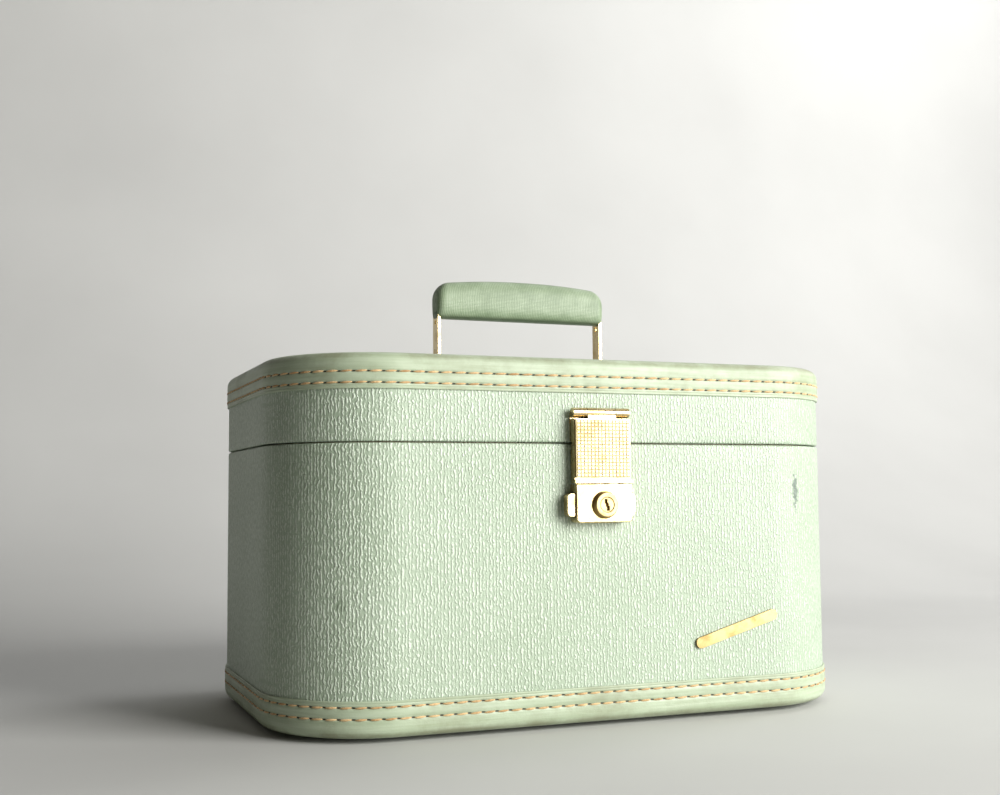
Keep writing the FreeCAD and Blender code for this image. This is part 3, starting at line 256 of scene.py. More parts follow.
def embossed_vinyl():
    """Vinyl-coated cloth with a deep crinkled grain that stands upright: pale, satin ridges about 2 mm
    apart that wander, fork and break off, with darker, greener valleys between them; the ridges' paler
    colour is painted highlight and the valleys' darker colour painted shade."""
    material, put = new_material("embossed_vinyl")
    place = put("ShaderNodeUVMap", uv_map="sheet")
    wander_place = put("ShaderNodeMapping", {"Vector": place, "Scale": (1 / 0.0031, 1 / 0.0031, 1)})
    wander = put(
        "ShaderNodeTexNoise", {"Vector": wander_place, "Scale": 1.0, "Detail": 2.0, "Roughness": 0.55}
    )
    across = put("ShaderNodeSeparateXYZ", {0: place})
    turn = put("ShaderNodeMath", {0: across, 1: 2 * math.pi / 0.0019}, operation="MULTIPLY")
    phase = put("ShaderNodeMath", {0: wander, 1: 10.5, 2: turn}, operation="MULTIPLY_ADD")
    wave = put("ShaderNodeMath", {0: phase}, operation="SINE")
    crest_line = put(
        "ShaderNodeMapRange",
        {"Value": wave, "From Min": -0.55, "From Max": 0.85, "To Min": 0.0, "To Max": 1.0},
        interpolation_type="SMOOTHSTEP",
    )
    break_place = put("ShaderNodeMapping", {"Vector": place, "Scale": (1 / 0.0021, 1 / 0.0025, 1)})
    broken = put("ShaderNodeTexNoise", {"Vector": break_place, "Scale": 1.0, "Detail": 1.5})
    whole = put(
        "ShaderNodeMapRange",
        {"Value": broken, "From Min": 0.38, "From Max": 0.56, "To Min": 0.1, "To Max": 1.0},
        interpolation_type="SMOOTHSTEP",
    )
    ridge = put("ShaderNodeMath", {0: crest_line, 1: whole}, operation="MULTIPLY")
    fine_place = put("ShaderNodeMapping", {"Vector": place, "Scale": (1 / 0.0007, 1 / 0.0011, 1)})
    fine = put("ShaderNodeTexNoise", {"Vector": fine_place, "Scale": 1.0, "Detail": 2.0, "Roughness": 0.5})
    height = put("ShaderNodeMath", {0: fine, 1: 0.3, 2: ridge}, operation="MULTIPLY_ADD")
    bump = put("ShaderNodeBump", {"Height": height, "Strength": 1.0, "Distance": 0.00030})
    soil = put("ShaderNodeTexNoise", {"Vector": place, "Scale": 14.0, "Detail": 5.0, "Roughness": 0.6})
    # painted light: the valleys take a darker tone as painted shade, the ridge tops a paler one as painted
    # highlight
    valley_shade_tone = put(
        "ShaderNodeValToRGB",
        {"Fac": soil},
        ramp=[(0.3, linear("#97A890")), (0.7, linear("#A1B19B"))],
    )
    crest_highlight_tone = put(
        "ShaderNodeValToRGB",
        {"Fac": soil},
        ramp=[(0.3, linear("#C0CCBA")), (0.7, linear("#CBD6C6"))],
    )
    colour = put("ShaderNodeMixRGB", {"Fac": ridge, "Color1": valley_shade_tone, "Color2": crest_highlight_tone})
    inked = scuffs(put, colour)
    gloss = put(
        "ShaderNodeMapRange", {
            "Value": ridge, "From Min": 0.0, "From Max": 1.0, "To Min": 0.50, "To Max": 0.36
        }
    )
    return finish_material(material, Base_Color=inked, Roughness=gloss, Normal=bump, Specular_IOR_Level=0.8)


def scuffs(put, colour):
    """Two old marks on the front: a dark scrape by the right corner and a faint one low on the left."""
    place = put("ShaderNodeTexCoord").outputs["Object"]
    for centre, reach, tint, strength in [
        ((126.9, FRONT + 2.5, 124.6), (3.4, 9.0, 15.0), "#51605A", 0.8),
        ((-140.0, FRONT + 8.0, 69.0), (5.0, 8.0, 8.0), "#6E8065", 0.45),
    ]:
        moved = put(
            "ShaderNodeVectorMath", {0: place, 1: tuple(c * MM for c in centre)}, operation="SUBTRACT"
        )
        scaled = put(
            "ShaderNodeVectorMath", {0: moved, 1: tuple(1 / (r * MM) for r in reach)}, operation="MULTIPLY"
        )
        away = put("ShaderNodeVectorMath", {0: scaled}, operation="LENGTH")
        ragged = put(
            "ShaderNodeTexNoise", {"Vector": place, "Scale": 420.0, "Detail": 4.0, "Roughness": 0.7}
        )
        edge = put(
            "ShaderNodeMath", {0: ragged, 1: 2.2, 2: away.outputs["Value"]}, operation="MULTIPLY_ADD"
        )
        mask = put(
            "ShaderNodeMapRange",
            {"Value": edge, "From Min": 1.45, "From Max": 1.75, "To Min": strength, "To Max": 0.0},
        )
        colour = put("ShaderNodeMixRGB", {"Fac": mask, "Color1": colour, "Color2": linear(tint)})
    return colour


def binding_vinyl():
    """Smooth vinyl pressed with a faint calf grain: a yellower green than the cover, satin, with long soft
    streaks from handling, grime on the rolled edge, and near-black painted shade in the awl holes at the
    stitches."""
    material, put = new_material("binding_vinyl")
    place = put("ShaderNodeUVMap", uv_map="sheet")
    streak_place = put("ShaderNodeMapping", {"Vector": place, "Scale": (1 / 0.05, 1 / 0.0025, 1)})
    streak = put(
        "ShaderNodeTexNoise", {"Vector": streak_place, "Scale": 1.0, "Detail": 4.0, "Roughness": 0.6}
    )
    base = put(
        "ShaderNodeValToRGB",
        {"Fac": streak},
        ramp=[(0.32, linear("#9EAB8F")), (0.52, linear("#AAB79D")), (0.7, linear("#B4C0A8"))],
    )
    object_place = put("ShaderNodeTexCoord").outputs["Object"]
    smudge = put(
        "ShaderNodeTexNoise", {"Vector": object_place, "Scale": 30.0, "Detail": 6.0, "Roughness": 0.7}
    )
    rolled = put("ShaderNodeAttribute", attribute_name="rolled_edge").outputs["Fac"]
    grime = put("ShaderNodeMath", {0: smudge, 1: rolled}, operation="MULTIPLY")
    grime = put(
        "ShaderNodeMapRange",
        {"Value": grime, "From Min": 0.33, "From Max": 0.56, "To Min": 0.0, "To Max": 0.5},
    )
    soil_and_shade = put("ShaderNodeMixRGB", {"Fac": grime, "Color1": base, "Color2": linear("#665F3C")})
    # painted shade: the awl holes are coloured near-black to stand for the shadow inside them
    awl = put("ShaderNodeAttribute", attribute_name="awl_hole").outputs["Fac"]
    holes = put(
        "ShaderNodeMapRange",
        {"Value": awl, "From Min": 0.30, "From Max": 0.56, "To Min": 0.0, "To Max": 0.95},
    )
    colour = put("ShaderNodeMixRGB", {"Fac": holes, "Color1": soil_and_shade, "Color2": linear("#2A1F12")})
    grain = put("ShaderNodeTexVoronoi", {"Vector": object_place, "Scale": 1 / 0.0009, "Randomness": 1.0})
    wrinkle = put(
        "ShaderNodeTexNoise", {"Vector": streak_place, "Scale": 3.0, "Detail": 3.0, "Roughness": 0.6}
    )
    relief = put(
        "ShaderNodeMath", {0: grain.outputs["Distance"], 1: 0.35, 2: wrinkle}, operation="MULTIPLY_ADD"
    )
    bump = put("ShaderNodeBump", {"Height": relief, "Strength": 0.5, "Distance": 0.00018})
    gloss = put(
        "ShaderNodeMapRange", {
            "Value": smudge, "From Min": 0.3, "From Max": 0.7, "To Min": 0.40, "To Max": 0.54
        }
    )
    return finish_material(material, Base_Color=colour, Roughness=gloss, Normal=bump)


def grip_vinyl():
    """Vinyl pressed like fine linen: crossed threads about 0.8 mm apart, drawn a little coarse so that they
    show, with painted shade along its lower edges and underneath."""
    material, put = new_material("grip_vinyl")
    place = put("ShaderNodeTexCoord").outputs["Object"]
    wrapped = put("ShaderNodeUVMap", uv_map="sheet")
    split = put("ShaderNodeSeparateXYZ", {0: wrapped})
    wobble = put("ShaderNodeTexNoise", {"Vector": place, "Scale": 260.0, "Detail": 3.0, "Roughness": 0.6})
    threads = []
    for axis, pitch in (("Y", 0.00085), ("X", 0.0011)):
        turn = put("ShaderNodeMath", {0: split.outputs[axis], 1: 2 * math.pi / pitch}, operation="MULTIPLY")
        shifted = put("ShaderNodeMath", {0: wobble, 1: 7.0, 2: turn}, operation="MULTIPLY_ADD")
        threads.append(put("ShaderNodeMath", {0: shifted}, operation="SINE"))
    weave = put("ShaderNodeMath", {0: threads[0], 1: threads[1]}, operation="ADD")
    linen = put(
        "ShaderNodeMapRange",
        {"Value": weave, "From Min": -1.6, "From Max": 1.6, "To Min": 0.0, "To Max": 1.0},
    )
    soil = put("ShaderNodeTexNoise", {"Vector": place, "Scale": 45.0, "Detail": 5.0, "Roughness": 0.65})
    mixed = put(
        "ShaderNodeMath",
        {0: soil, 1: 0.7, 2: put("ShaderNodeMath", {0: linen, 1: 0.3}, operation="MULTIPLY")},
        operation="MULTIPLY_ADD",
    )
    colour = put(
        "ShaderNodeValToRGB",
        {"Fac": mixed},
        ramp=[(0.32, linear("#6C7D62")), (0.5, linear("#829376")), (0.66, linear("#9FAD94"))],
    )
    # painted shade: darker along the lower edges and underneath the grip
    seam = put("ShaderNodeAttribute", attribute_name="seam").outputs["Fac"]
    soil_and_shade = put("ShaderNodeMixRGB", {"Fac": seam, "Color1": colour, "Color2": linear("#4B5942")})
    bump = put("ShaderNodeBump", {"Height": linen, "Strength": 0.6, "Distance": 0.00012})
    return finish_material(material, Base_Color=soil_and_shade, Roughness=0.45, Normal=bump)


def waxed_thread(name, light, dark):
    """Waxed cotton, two strands laid together, that gives a warm dull stitch with a slanted lay."""
    material, put = new_material(name)
    place = put("ShaderNodeTexCoord").outputs["Object"]
    fibre = put("ShaderNodeTexNoise", {"Vector": place, "Scale": 900.0, "Detail": 3.0, "Roughness": 0.7})
    patch = put("ShaderNodeTexNoise", {"Vector": place, "Scale": 60.0, "Detail": 2.0})
    blend = put(
        "ShaderNodeMath",
        {0: fibre, 1: 0.5, 2: put("ShaderNodeMath", {0: patch, 1: 0.5}, operation="MULTIPLY")},
        operation="MULTIPLY_ADD",
    )
    colour = put("ShaderNodeValToRGB", {"Fac": blend}, ramp=[(0.35, linear(dark)), (0.6, linear(light))])
    bump = put("ShaderNodeBump", {"Height": fibre, "Strength": 0.5, "Distance": 0.0001})
    return finish_material(material, Base_Color=colour, Roughness=0.7, Normal=bump, Sheen_Weight=0.2)


def plated_metal(name, light, dark, rough, worn=0.12, grain=0.00002):
    """Stamped metal under old lacquer or plating: satin, with faint drawn lines, slightly darker tarnish in
    patches, and brown painted shade in its corners and crevices."""
    material, put = new_material(name)
    place = put("ShaderNodeTexCoord").outputs["Object"]
    tarnish = put("ShaderNodeTexNoise", {"Vector": place, "Scale": 90.0, "Detail": 6.0, "Roughness": 0.65})
    colour = put("ShaderNodeValToRGB", {"Fac": tarnish}, ramp=[(0.36, linear(dark)), (0.56, linear(light))])
    # painted shade: ambient occlusion darkens corners and crevices towards brown
    crevice = put("ShaderNodeAmbientOcclusion", {"Distance": 0.0009}, samples=6)
    crevice_shade = put(
        "ShaderNodeMapRange",
        {"Value": crevice.outputs["AO"], "From Min": 0.25, "From Max": 0.85, "To Min": 0.7, "To Max": 0.0},
    )
    colour = put("ShaderNodeMixRGB", {"Fac": crevice_shade, "Color1": colour, "Color2": linear("#5A4422")})
    lines_place = put("ShaderNodeMapping", {"Vector": place, "Scale": (1 / 0.004, 1 / 0.0004, 1 / 0.0002)})
    lines = put("ShaderNodeTexNoise", {"Vector": lines_place, "Scale": 1.0, "Detail": 2.0})
    gloss = put(
        "ShaderNodeMapRange",
        {"Value": tarnish, "From Min": 0.35, "From Max": 0.7, "To Min": rough + worn, "To Max": rough},
    )
    bump = put("ShaderNodeBump", {"Height": lines, "Strength": 0.06, "Distance": grain})
    return finish_material(material, Base_Color=colour, Metallic=1.0, Roughness=gloss, Normal=bump)


def satin_lining(name, light, dark):
    """Rayon satin glued over card: a fine slanted weave with a soft sheen."""
    material, put = new_material(name)
    place = put("ShaderNodeTexCoord").outputs["Object"]
    turned = put(
        "ShaderNodeMapping", {"Vector": place, "Rotation": (0.6, 0.5, 0.7), "Scale": (1 / 0.0007,) * 3}
    )
    twill = put("ShaderNodeTexWave", {"Vector": turned, "Scale": 0.35, "Distortion": 1.2, "Detail": 2.0})
    cloud = put("ShaderNodeTexNoise", {"Vector": place, "Scale": 25.0, "Detail": 4.0})
    blend = put("ShaderNodeMath", {0: twill.outputs["Fac"], 1: 0.25, 2: cloud}, operation="MULTIPLY_ADD")
    colour = put("ShaderNodeValToRGB", {"Fac": blend}, ramp=[(0.4, linear(dark)), (0.8, linear(light))])
    bump = put("ShaderNodeBump", {"Height": twill.outputs["Fac"], "Strength": 0.3, "Distance": 0.00008})
    return finish_material(material, Base_Color=colour, Roughness=0.42, Normal=bump, Sheen_Weight=0.35)


def moulded_plastic(name, light, dark, rough):
    """Injection-moulded styrene: even, slightly waxy, with a very fine texture and faint flow marks."""
    material, put = new_material(name)
    place = put("ShaderNodeTexCoord").outputs["Object"]
    flow = put("ShaderNodeTexNoise", {"Vector": place, "Scale": 18.0, "Detail": 3.0, "Distortion": 1.5})
    colour = put("ShaderNodeValToRGB", {"Fac": flow}, ramp=[(0.35, linear(dark)), (0.65, linear(light))])
    pebble = put("ShaderNodeTexNoise", {"Vector": place, "Scale": 1400.0, "Detail": 2.0})
    bump = put("ShaderNodeBump", {"Height": pebble, "Strength": 0.25, "Distance": 0.00006})
    return finish_material(material, Base_Color=colour, Roughness=rough, Normal=bump, IOR=1.5)


def fibre_board(name, light, dark):
    """Pressed fibreboard: matt brown with short flecks."""
    material, put = new_material(name)
    place = put("ShaderNodeTexCoord").outputs["Object"]
    fleck = put("ShaderNodeTexNoise", {"Vector": place, "Scale": 500.0, "Detail": 4.0, "Roughness": 0.7})
    colour = put("ShaderNodeValToRGB", {"Fac": fleck}, ramp=[(0.35, linear(dark)), (0.65, linear(light))])
    bump = put("ShaderNodeBump", {"Height": fleck, "Strength": 0.4, "Distance": 0.0002})
    return finish_material(material, Base_Color=colour, Roughness=0.85, Normal=bump)


def silvered_glass():
    """Old mirror glass: a clean reflection with the faintest haze."""
    material, put = new_material("silvered_glass")
    place = put("ShaderNodeTexCoord").outputs["Object"]
    haze = put("ShaderNodeTexNoise", {"Vector": place, "Scale": 12.0, "Detail": 5.0})
    gloss = put(
        "ShaderNodeMapRange",
        {"Value": haze, "From Min": 0.4, "From Max": 0.8, "To Min": 0.02, "To Max": 0.06},
    )
    tint = put(
        "ShaderNodeValToRGB", {"Fac": haze}, ramp=[(0.3, linear("#DCE3E0")), (0.7, linear("#E6EBE9"))]
    )
    return finish_material(material, Base_Color=tint, Metallic=1.0, Roughness=gloss)


VINYL = embossed_vinyl()
BINDING = binding_vinyl()
GRIP = grip_vinyl()
THREAD = waxed_thread("waxed_thread", "#DAB988", "#A67D4C")
BRASS = plated_metal("lacquered_brass", "#DDCA9F", "#C0A772", 0.2)
WORN_BRASS = plated_metal("worn_brass", "#BFA877", "#9A8151", 0.34)
PAD_BRASS = plated_metal("knurled_brass", "#D8C79E", "#C2AD7C", 0.36)
NICKEL = plated_metal("nickel_plate", "#CFCBC2", "#A7A298", 0.30)
SATIN = satin_lining("satin_lining", "#E9DEC2", "#D3C4A0")
POCKET = satin_lining("pocket_satin", "#E4D7B8", "#CBBB95")
IVORY = moulded_plastic("ivory_styrene", "#EFE7D2", "#E2D8BE", 0.35)
FRAME_PLASTIC = moulded_plastic("frame_styrene", "#DCCFAE", "#CDBE99", 0.4)
BOARD = fibre_board("fibreboard", "#A5845A", "#6F5334")
CARD = fibre_board("backing_card", "#8C8272", "#6A6153")
MIRROR = silvered_glass()


# ------------------------------------------------------------ covers, boards and linings
def unevenness(amount, size):
    """The slow waviness of hand-laid covering, as a push outward in millimetres."""

    def push(s, inset, z):
        at, _ = outline_point(s)
        return amount * noise.noise(Vector((at.x, at.y, z)) / size)

    return push


def walls(end, mouth, heights):
    """Turns (inset, height from the closed end) pairs into profile points."""
    up = 1 if mouth > end else -1
    return [(inset, end + up * height) for inset, height in heights]


def cover(name, body, end, mouth, *replaced):
    """A bowl of vinyl-covered cloth, turned in over the board's edge at the mouth."""
    high = abs(mouth - end)
    turn = 1.1
    outer = [(52, 0), (30, 0), (EDGE + 6, 0)]
    outer += arc((EDGE, EDGE), EDGE, -90, -180, 8)
    outer += line((0, EDGE), (0, high - turn), 12)
    outer += arc((turn, high - turn), turn, 180, 90, 5)
    outer += [(LINING_OUT - 0.1, high), (LINING_OUT - 0.1, high - SKIN), (turn + 0.2, high - SKIN)]
    inner = [(SKIN, high - turn - SKIN)] + arc((EDGE, EDGE), EDGE - SKIN, 180, 270, 6) + [
        (EDGE + 6, SKIN), (52, SKIN)
    ]
    profile = walls(end, mouth, outer + inner)
    wave = unevenness(0.10, 40)
    bm = sweep(
        profile, 360, closed=False, push=lambda s, i, z: wave(s, i, z) if i <= 0 else 0.0, capped=True
    )
    return piece(name, bm, body, "vinyl_cover", VINYL, *replaced)


def board_wall(name, body, end, mouth, *replaced):
    high = abs(mouth - end) - SKIN - 0.1
    corner = EDGE - BOARD_OUT
    profile = arc((EDGE, EDGE), corner, -90, -180, 6) + [
        (BOARD_OUT, high), (BOARD_IN, high), (BOARD_IN, BOARD_OUT)
    ]
    bm = sweep(walls(end, mouth, profile), 180)
    return piece(name, bm, body, "board", BOARD, *replaced)


def lining(name, body, end, mouth, *replaced):
    """A tub of satin over card, rounded at its rim and where its wall meets its floor."""
    high = abs(mouth - end) - 0.3
    low = BOARD_IN
    rim = (LINING_IN - LINING_OUT) / 2
    profile = [(52, low), (LINING_OUT, low), (LINING_OUT, high - rim)]
    profile += arc((LINING_OUT + rim, high - rim), rim, 180, 0, 6)
    profile += line((LINING_IN, high - rim), (LINING_IN, low + 4), 10)
    profile += arc((LINING_IN + 3, low + 4), 3, 180, 270, 6) + [(30, low + 1), (52, low + 1)]
    wave = unevenness(0.12, 22)
    bm = sweep(
        walls(end, mouth, profile),
        360,
        closed=False,
        push=lambda s, i, z: wave(s, i, z) - 0.1 if LINING_IN - 0.1 < i < LINING_IN + 0.1 else 0.0,
        capped=True,
    )
    return piece(name, bm, body, "lining", SATIN, *replaced)


cover("body_covering", "case", BASE, BODY_TOP, "body_cover")
cover("lid_covering", "lid", TOP, LID_LOW, "lid_cover")
board_wall("body_board", "case", BASE, BODY_TOP, "body_shell")
board_wall("lid_board", "lid", TOP, LID_LOW, "lid_shell")
lining("body_satin", "case", BASE, BODY_TOP, "body_lining")
lining("lid_satin", "lid", TOP, LID_LOW, "lid_lining")

lip_low, lip_high = [corner.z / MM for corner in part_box("rim_lip")]
lip_round = (LIP_IN - LIP_OUT) / 2
lip_profile = [(LIP_IN, lip_low), (LIP_OUT, lip_low), (LIP_OUT, lip_high - lip_round)]
lip_profile += arc((LIP_OUT + lip_round, lip_high - lip_round), lip_round, 180, 0, 8)
piece("rim_lip_satin", sweep(lip_profile, 300), "case", "lining", SATIN, "rim_lip", "rim_lip_ends")


# ------------------------------------------------------------ bindings and saddle stitching
def near_hole(s):
    """The distance round the case from the nearest awl hole."""
    return (s + PITCH / 2) % PITCH - PITCH / 2


def binding_push(s, height):
    """How far the binding's face stands from its plain shape: it sinks along each row of
    stitches, deeper at the holes, and swells a little between the rows."""
    depth = 0.0
    for row in STITCH_ROWS:
        away = height - row
        pull = 0.75 + 0.25 * math.cos(2 * math.pi * s / PITCH)
        depth -= 0.34 * pull * math.exp(-((away / 0.85) ** 2))
        depth -= 0.35 * math.exp(-((near_hole(s) / 1.0) ** 2) - (away / 0.45) ** 2)
    depth -= 0.2 * math.exp(-(((height - FOLD_LINE) / 0.3) ** 2))
    middle = (STITCH_ROWS[0] + STITCH_ROWS[1]) / 2
    depth += 0.10 * math.exp(-(((height - middle) / 1.6) ** 2))
    at, _ = outline_point(s)
    return depth + 0.12 * noise.noise(Vector((at.x, at.y, height)) / 17)


def binding(name, body, end, mouth, replaced):
    """A band rolled over the case's edge, its face at the binding's height from the closed end."""
    roll = EDGE + BINDING_PROUD
    up = 1 if mouth > end else -1
    outer_end = end - up * BINDING_PROUD
    face_top = BINDING_HEIGHT - 0.45
    face = [roll + 0.9 * k for k in range(1, 4)]
    first, second = STITCH_ROWS
    face += [first - 1.2 + 0.3 * k for k in range(9)]
    face += [first + 1.9, (first + second) / 2, second - 1.9]
    face += [second - 1.2 + 0.3 * k for k in range(9)]
    face += [FOLD_LINE - 0.4, FOLD_LINE, FOLD_LINE + 0.4, face_top]
    face_inset = -BINDING_PROUD
    profile = [(BINDING_RETURN, BINDING_SKIN), (BINDING_RETURN - 0.15, 0.25), (BINDING_RETURN - 0.6, 0.0)]
    profile += line((BINDING_RETURN - 0.6, 0.0), (EDGE, 0.0), 3)
    rolled_from = len(profile)
    profile += arc((EDGE, roll), roll, -90, -180, 10)
    rolled_to = len(profile)
    profile += [(face_inset, h) for h in face]
    profile += arc((face_inset + 0.45, face_top), 0.45, 140, 90, 2)
    profile += [(-0.2, BINDING_HEIGHT), (-0.2, roll)]
    profile += arc((EDGE, roll), EDGE + 0.2, -180, -90, 6)[1:] + [(BINDING_RETURN - 0.5, BINDING_SKIN)]

    def push(s, inset, z):
        height = abs(z - outer_end)
        return binding_push(s, height) if inset <= face_inset + 0.05 and height > roll + 0.1 else 0.0

    bm = sweep(
        [(inset, outer_end + up * h) for inset, h in profile], STITCHES * COLUMNS_PER_STITCH, push=push
    )
    made = piece(name, bm, body, "vinyl_binding", BINDING, replaced)
    awl = made.data.attributes.new("awl_hole", "FLOAT", "POINT")
    rolled = made.data.attributes.new("rolled_edge", "FLOAT", "POINT")
    width = len(profile)
    for c in range(STITCHES * COLUMNS_PER_STITCH):
        s = PERIMETER * c / (STITCHES * COLUMNS_PER_STITCH)
        for k, (inset, height) in enumerate(profile):
            index = c * width + k
            # painted shade of the awl holes, kept as an attribute for the binding's material
            if inset <= face_inset + 0.05:
                awl.data[index].value = max(
                    math.exp(-((near_hole(s) / 1.5) ** 2) - ((height - row - 0.1) / 0.5) ** 2)
                    for row in STITCH_ROWS
                )
            if rolled_from <= k < rolled_to:
                rolled.data[index].value = math.sin(
                    math.pi * (k - rolled_from + 0.5) / (rolled_to - rolled_from)
                )
            rolled.data[index].value = max(rolled.data[index].value, LEAST_SOIL)
    return made


def stitching(name, body, end, mouth, replaced):
    """Separate saddle stitches: each thread comes out of one hole, crosses at a slight slant and
    sinks into the next."""
    up = 1 if mouth > end else -1
    outer_end = end - up * BINDING_PROUD
    bm = bmesh.new()
    around, steps = 8, 9
    for row in STITCH_ROWS:
        for n in range(STITCHES):
            start = n * PITCH
            slant = 0.34 + RNG.uniform(-0.08, 0.08)
            long = PITCH - 1.3 + RNG.uniform(-0.15, 0.15)
            fat = 0.56 + RNG.uniform(-0.04, 0.04)
            rings = []
            for k in range(steps):
                t = k / (steps - 1)
                s = start + 0.65 + long * t
                at, outward = outline_point(s)
                swell = math.sin(math.pi * min(max(t, 0.02), 0.98)) ** 0.45
                out = BINDING_PROUD - 0.62 + 0.66 * swell
                z = outer_end + up * row + slant * (0.5 - t)
                ring = []
                for a in range(around):
                    turn = 2 * math.pi * a / around
                    place = at + outward * (out + 0.38 * swell * math.cos(turn))
                    ring.append(
                        bm.verts.new((place.x, place.y + MIDDLE_Y, z + fat * swell * math.sin(turn)))
                    )
                rings.append(ring)
            grid_faces(bm, rings, False, True)
            bm.faces.new(rings[0])
            bm.faces.new(rings[-1])
    return piece(name, bm, body, "thread", THREAD, replaced, crease=70)


binding("lower_binding_band", "case", BASE, BODY_TOP, "lower_binding")
binding("upper_binding_band", "lid", TOP, LID_LOW, "upper_binding")
stitching("body_saddle_stitches", "case", BASE, BODY_TOP, "body_stitching")
stitching("lid_saddle_stitches", "lid", TOP, LID_LOW, "lid_stitching")


# ------------------------------------------------------------ the grip
def wrap_cloth(bm, rows, faces):
    """Gives rings of vertices a UV map in metres: along the grip, and round its middle ring."""
    uv = bm.loops.layers.uv.new("sheet")
    ring = rows[len(rows) // 2]
    round_it = [0.0]
    for first, second in zip(ring, ring[1:] + ring[:1]):
        round_it.append(round_it[-1] + (second.co - first.co).length)
    place = {vert: k for row in rows for k, vert in enumerate(row)}
    for face in faces:
        spots = [place[loop.vert] for loop in face.loops]
        closes = max(spots) - min(spots) > 1
        for loop, k in zip(face.loops, spots):
            k = len(ring) if closes and k == 0 else k
            loop[uv].uv = (loop.vert.co.x * MM, round_it[k] * MM)


def grip():
    """A crowned hand grip: straight underneath, highest in the middle, with rounded ends."""
    low, high = [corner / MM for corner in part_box("grip_cover")]
    _, arm_high = [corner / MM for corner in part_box("handle_strap")]
    half = high.x - 0.5
    tall = high.z - low.z
    wide = (high.y - low.y) / 2 - 0.1
    end_round, side_round, notch = 8.0, 4.5, 3.0
    crown_roundness, underside_roundness = 0.80, 0.62
    steps = 40
    bm = bmesh.new()
    seam_shade_layer = bm.verts.layers.float.new("seam")
    stations = [half - end_round * (1 - math.sin(math.radians(a))) for a in range(0, 91, 9)]
    middle = [stations[0] * k / 16 for k in range(17)]
    xs = sorted({round(x, 4) for x in middle + stations} | {arm_high.x + 0.15, arm_high.x + 0.3})
    xs = [-x for x in reversed(xs) if x > 0] + xs
    rows = []
    for x in xs:
        away = half - abs(x)
        drop = end_round - math.sqrt(max(end_round**2 - max(end_round - away, 0) ** 2, 0))
        draw = side_round - math.sqrt(max(side_round**2 - max(side_round - away, 0) ** 2, 0))
        crown = tall - 0.6 - 3.4 * (abs(x) / half) ** 2.2
        top = low.z + crown - drop
        bottom = low.z + 0.2 + (notch if abs(x) > arm_high.x + 0.2 else 0.0)
        width = wide - 0.8 * (abs(x) / half) ** 2 - draw
        row = []
        for k in range(steps):
            a = 2 * math.pi * k / steps
            power = crown_roundness if math.sin(a) > 0 else underside_roundness
            across = math.copysign(abs(math.cos(a)) ** power, math.cos(a))
            rise = math.copysign(abs(math.sin(a)) ** power, math.sin(a))
            belly = low.z + 11.0
            z = belly + rise * (top - belly if rise > 0 else belly - bottom)
            # painted shade mask: strongest where the sides turn under, weaker over the whole underside
            near_seam = math.exp(-(((z - bottom) / 1.3) ** 2)) * math.exp(
                -(((abs(across) - 0.55) / 0.3) ** 2)
            )
            vert = bm.verts.new((x, MIDDLE_Y + across * width, z))
            vert[seam_shade_layer] = max(0.8 * near_seam, 0.35 if z < bottom + 1.2 else 0.0)
            row.append(vert)
        rows.append(row)
    wrap_cloth(bm, rows, grid_faces(bm, rows, False, True))
    bm.faces.new(rows[0])
    bm.faces.new(rows[-1])
    made = piece("grip_padding", bm, "handle", "grip_vinyl", GRIP, "grip_cover", "grip_core", crease=50)
    return made


grip()


# ------------------------------------------------------------ pieces kept from the frame
def softened(node, material, width, body):
    """A piece as the frame has it, with its sharp edges broken by a bevel of the given width."""
    bm = bmesh.new()
    bm.from_mesh(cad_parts[node].data)
    bmesh.ops.remove_doubles(bm, verts=bm.verts, dist=1e-6)
    bmesh.ops.dissolve_limit(bm, angle_limit=math.radians(1.0), verts=bm.verts, edges=bm.edges)
    mesh = bpy.data.meshes.new(f"{node}_finished")
    bm.to_mesh(mesh)
    bm.free()
    mesh.materials.clear()
    mesh.materials.append(material)
    made = bpy.data.objects.new(f"{node}_finished", mesh)
    bpy.context.scene.collection.objects.link(made)
    bevel = made.modifiers.new("broken edges", "BEVEL")
    bevel.width = width * MM
    bevel.segments = 2
    bevel.limit_method = "ANGLE"
    bevel.angle_limit = math.radians(32)
    mesh.shade_smooth()
    normals = made.modifiers.new("flat faces", "WEIGHTED_NORMAL")
    normals.keep_sharp = True
    bpy.context.view_layer.update()
    graph = bpy.context.evaluated_depsgraph_get()
    final = bpy.data.meshes.new_from_object(made.evaluated_get(graph))
    made.modifiers.clear()
    made.data = final
    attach(made, body)
    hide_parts(node)
    return made


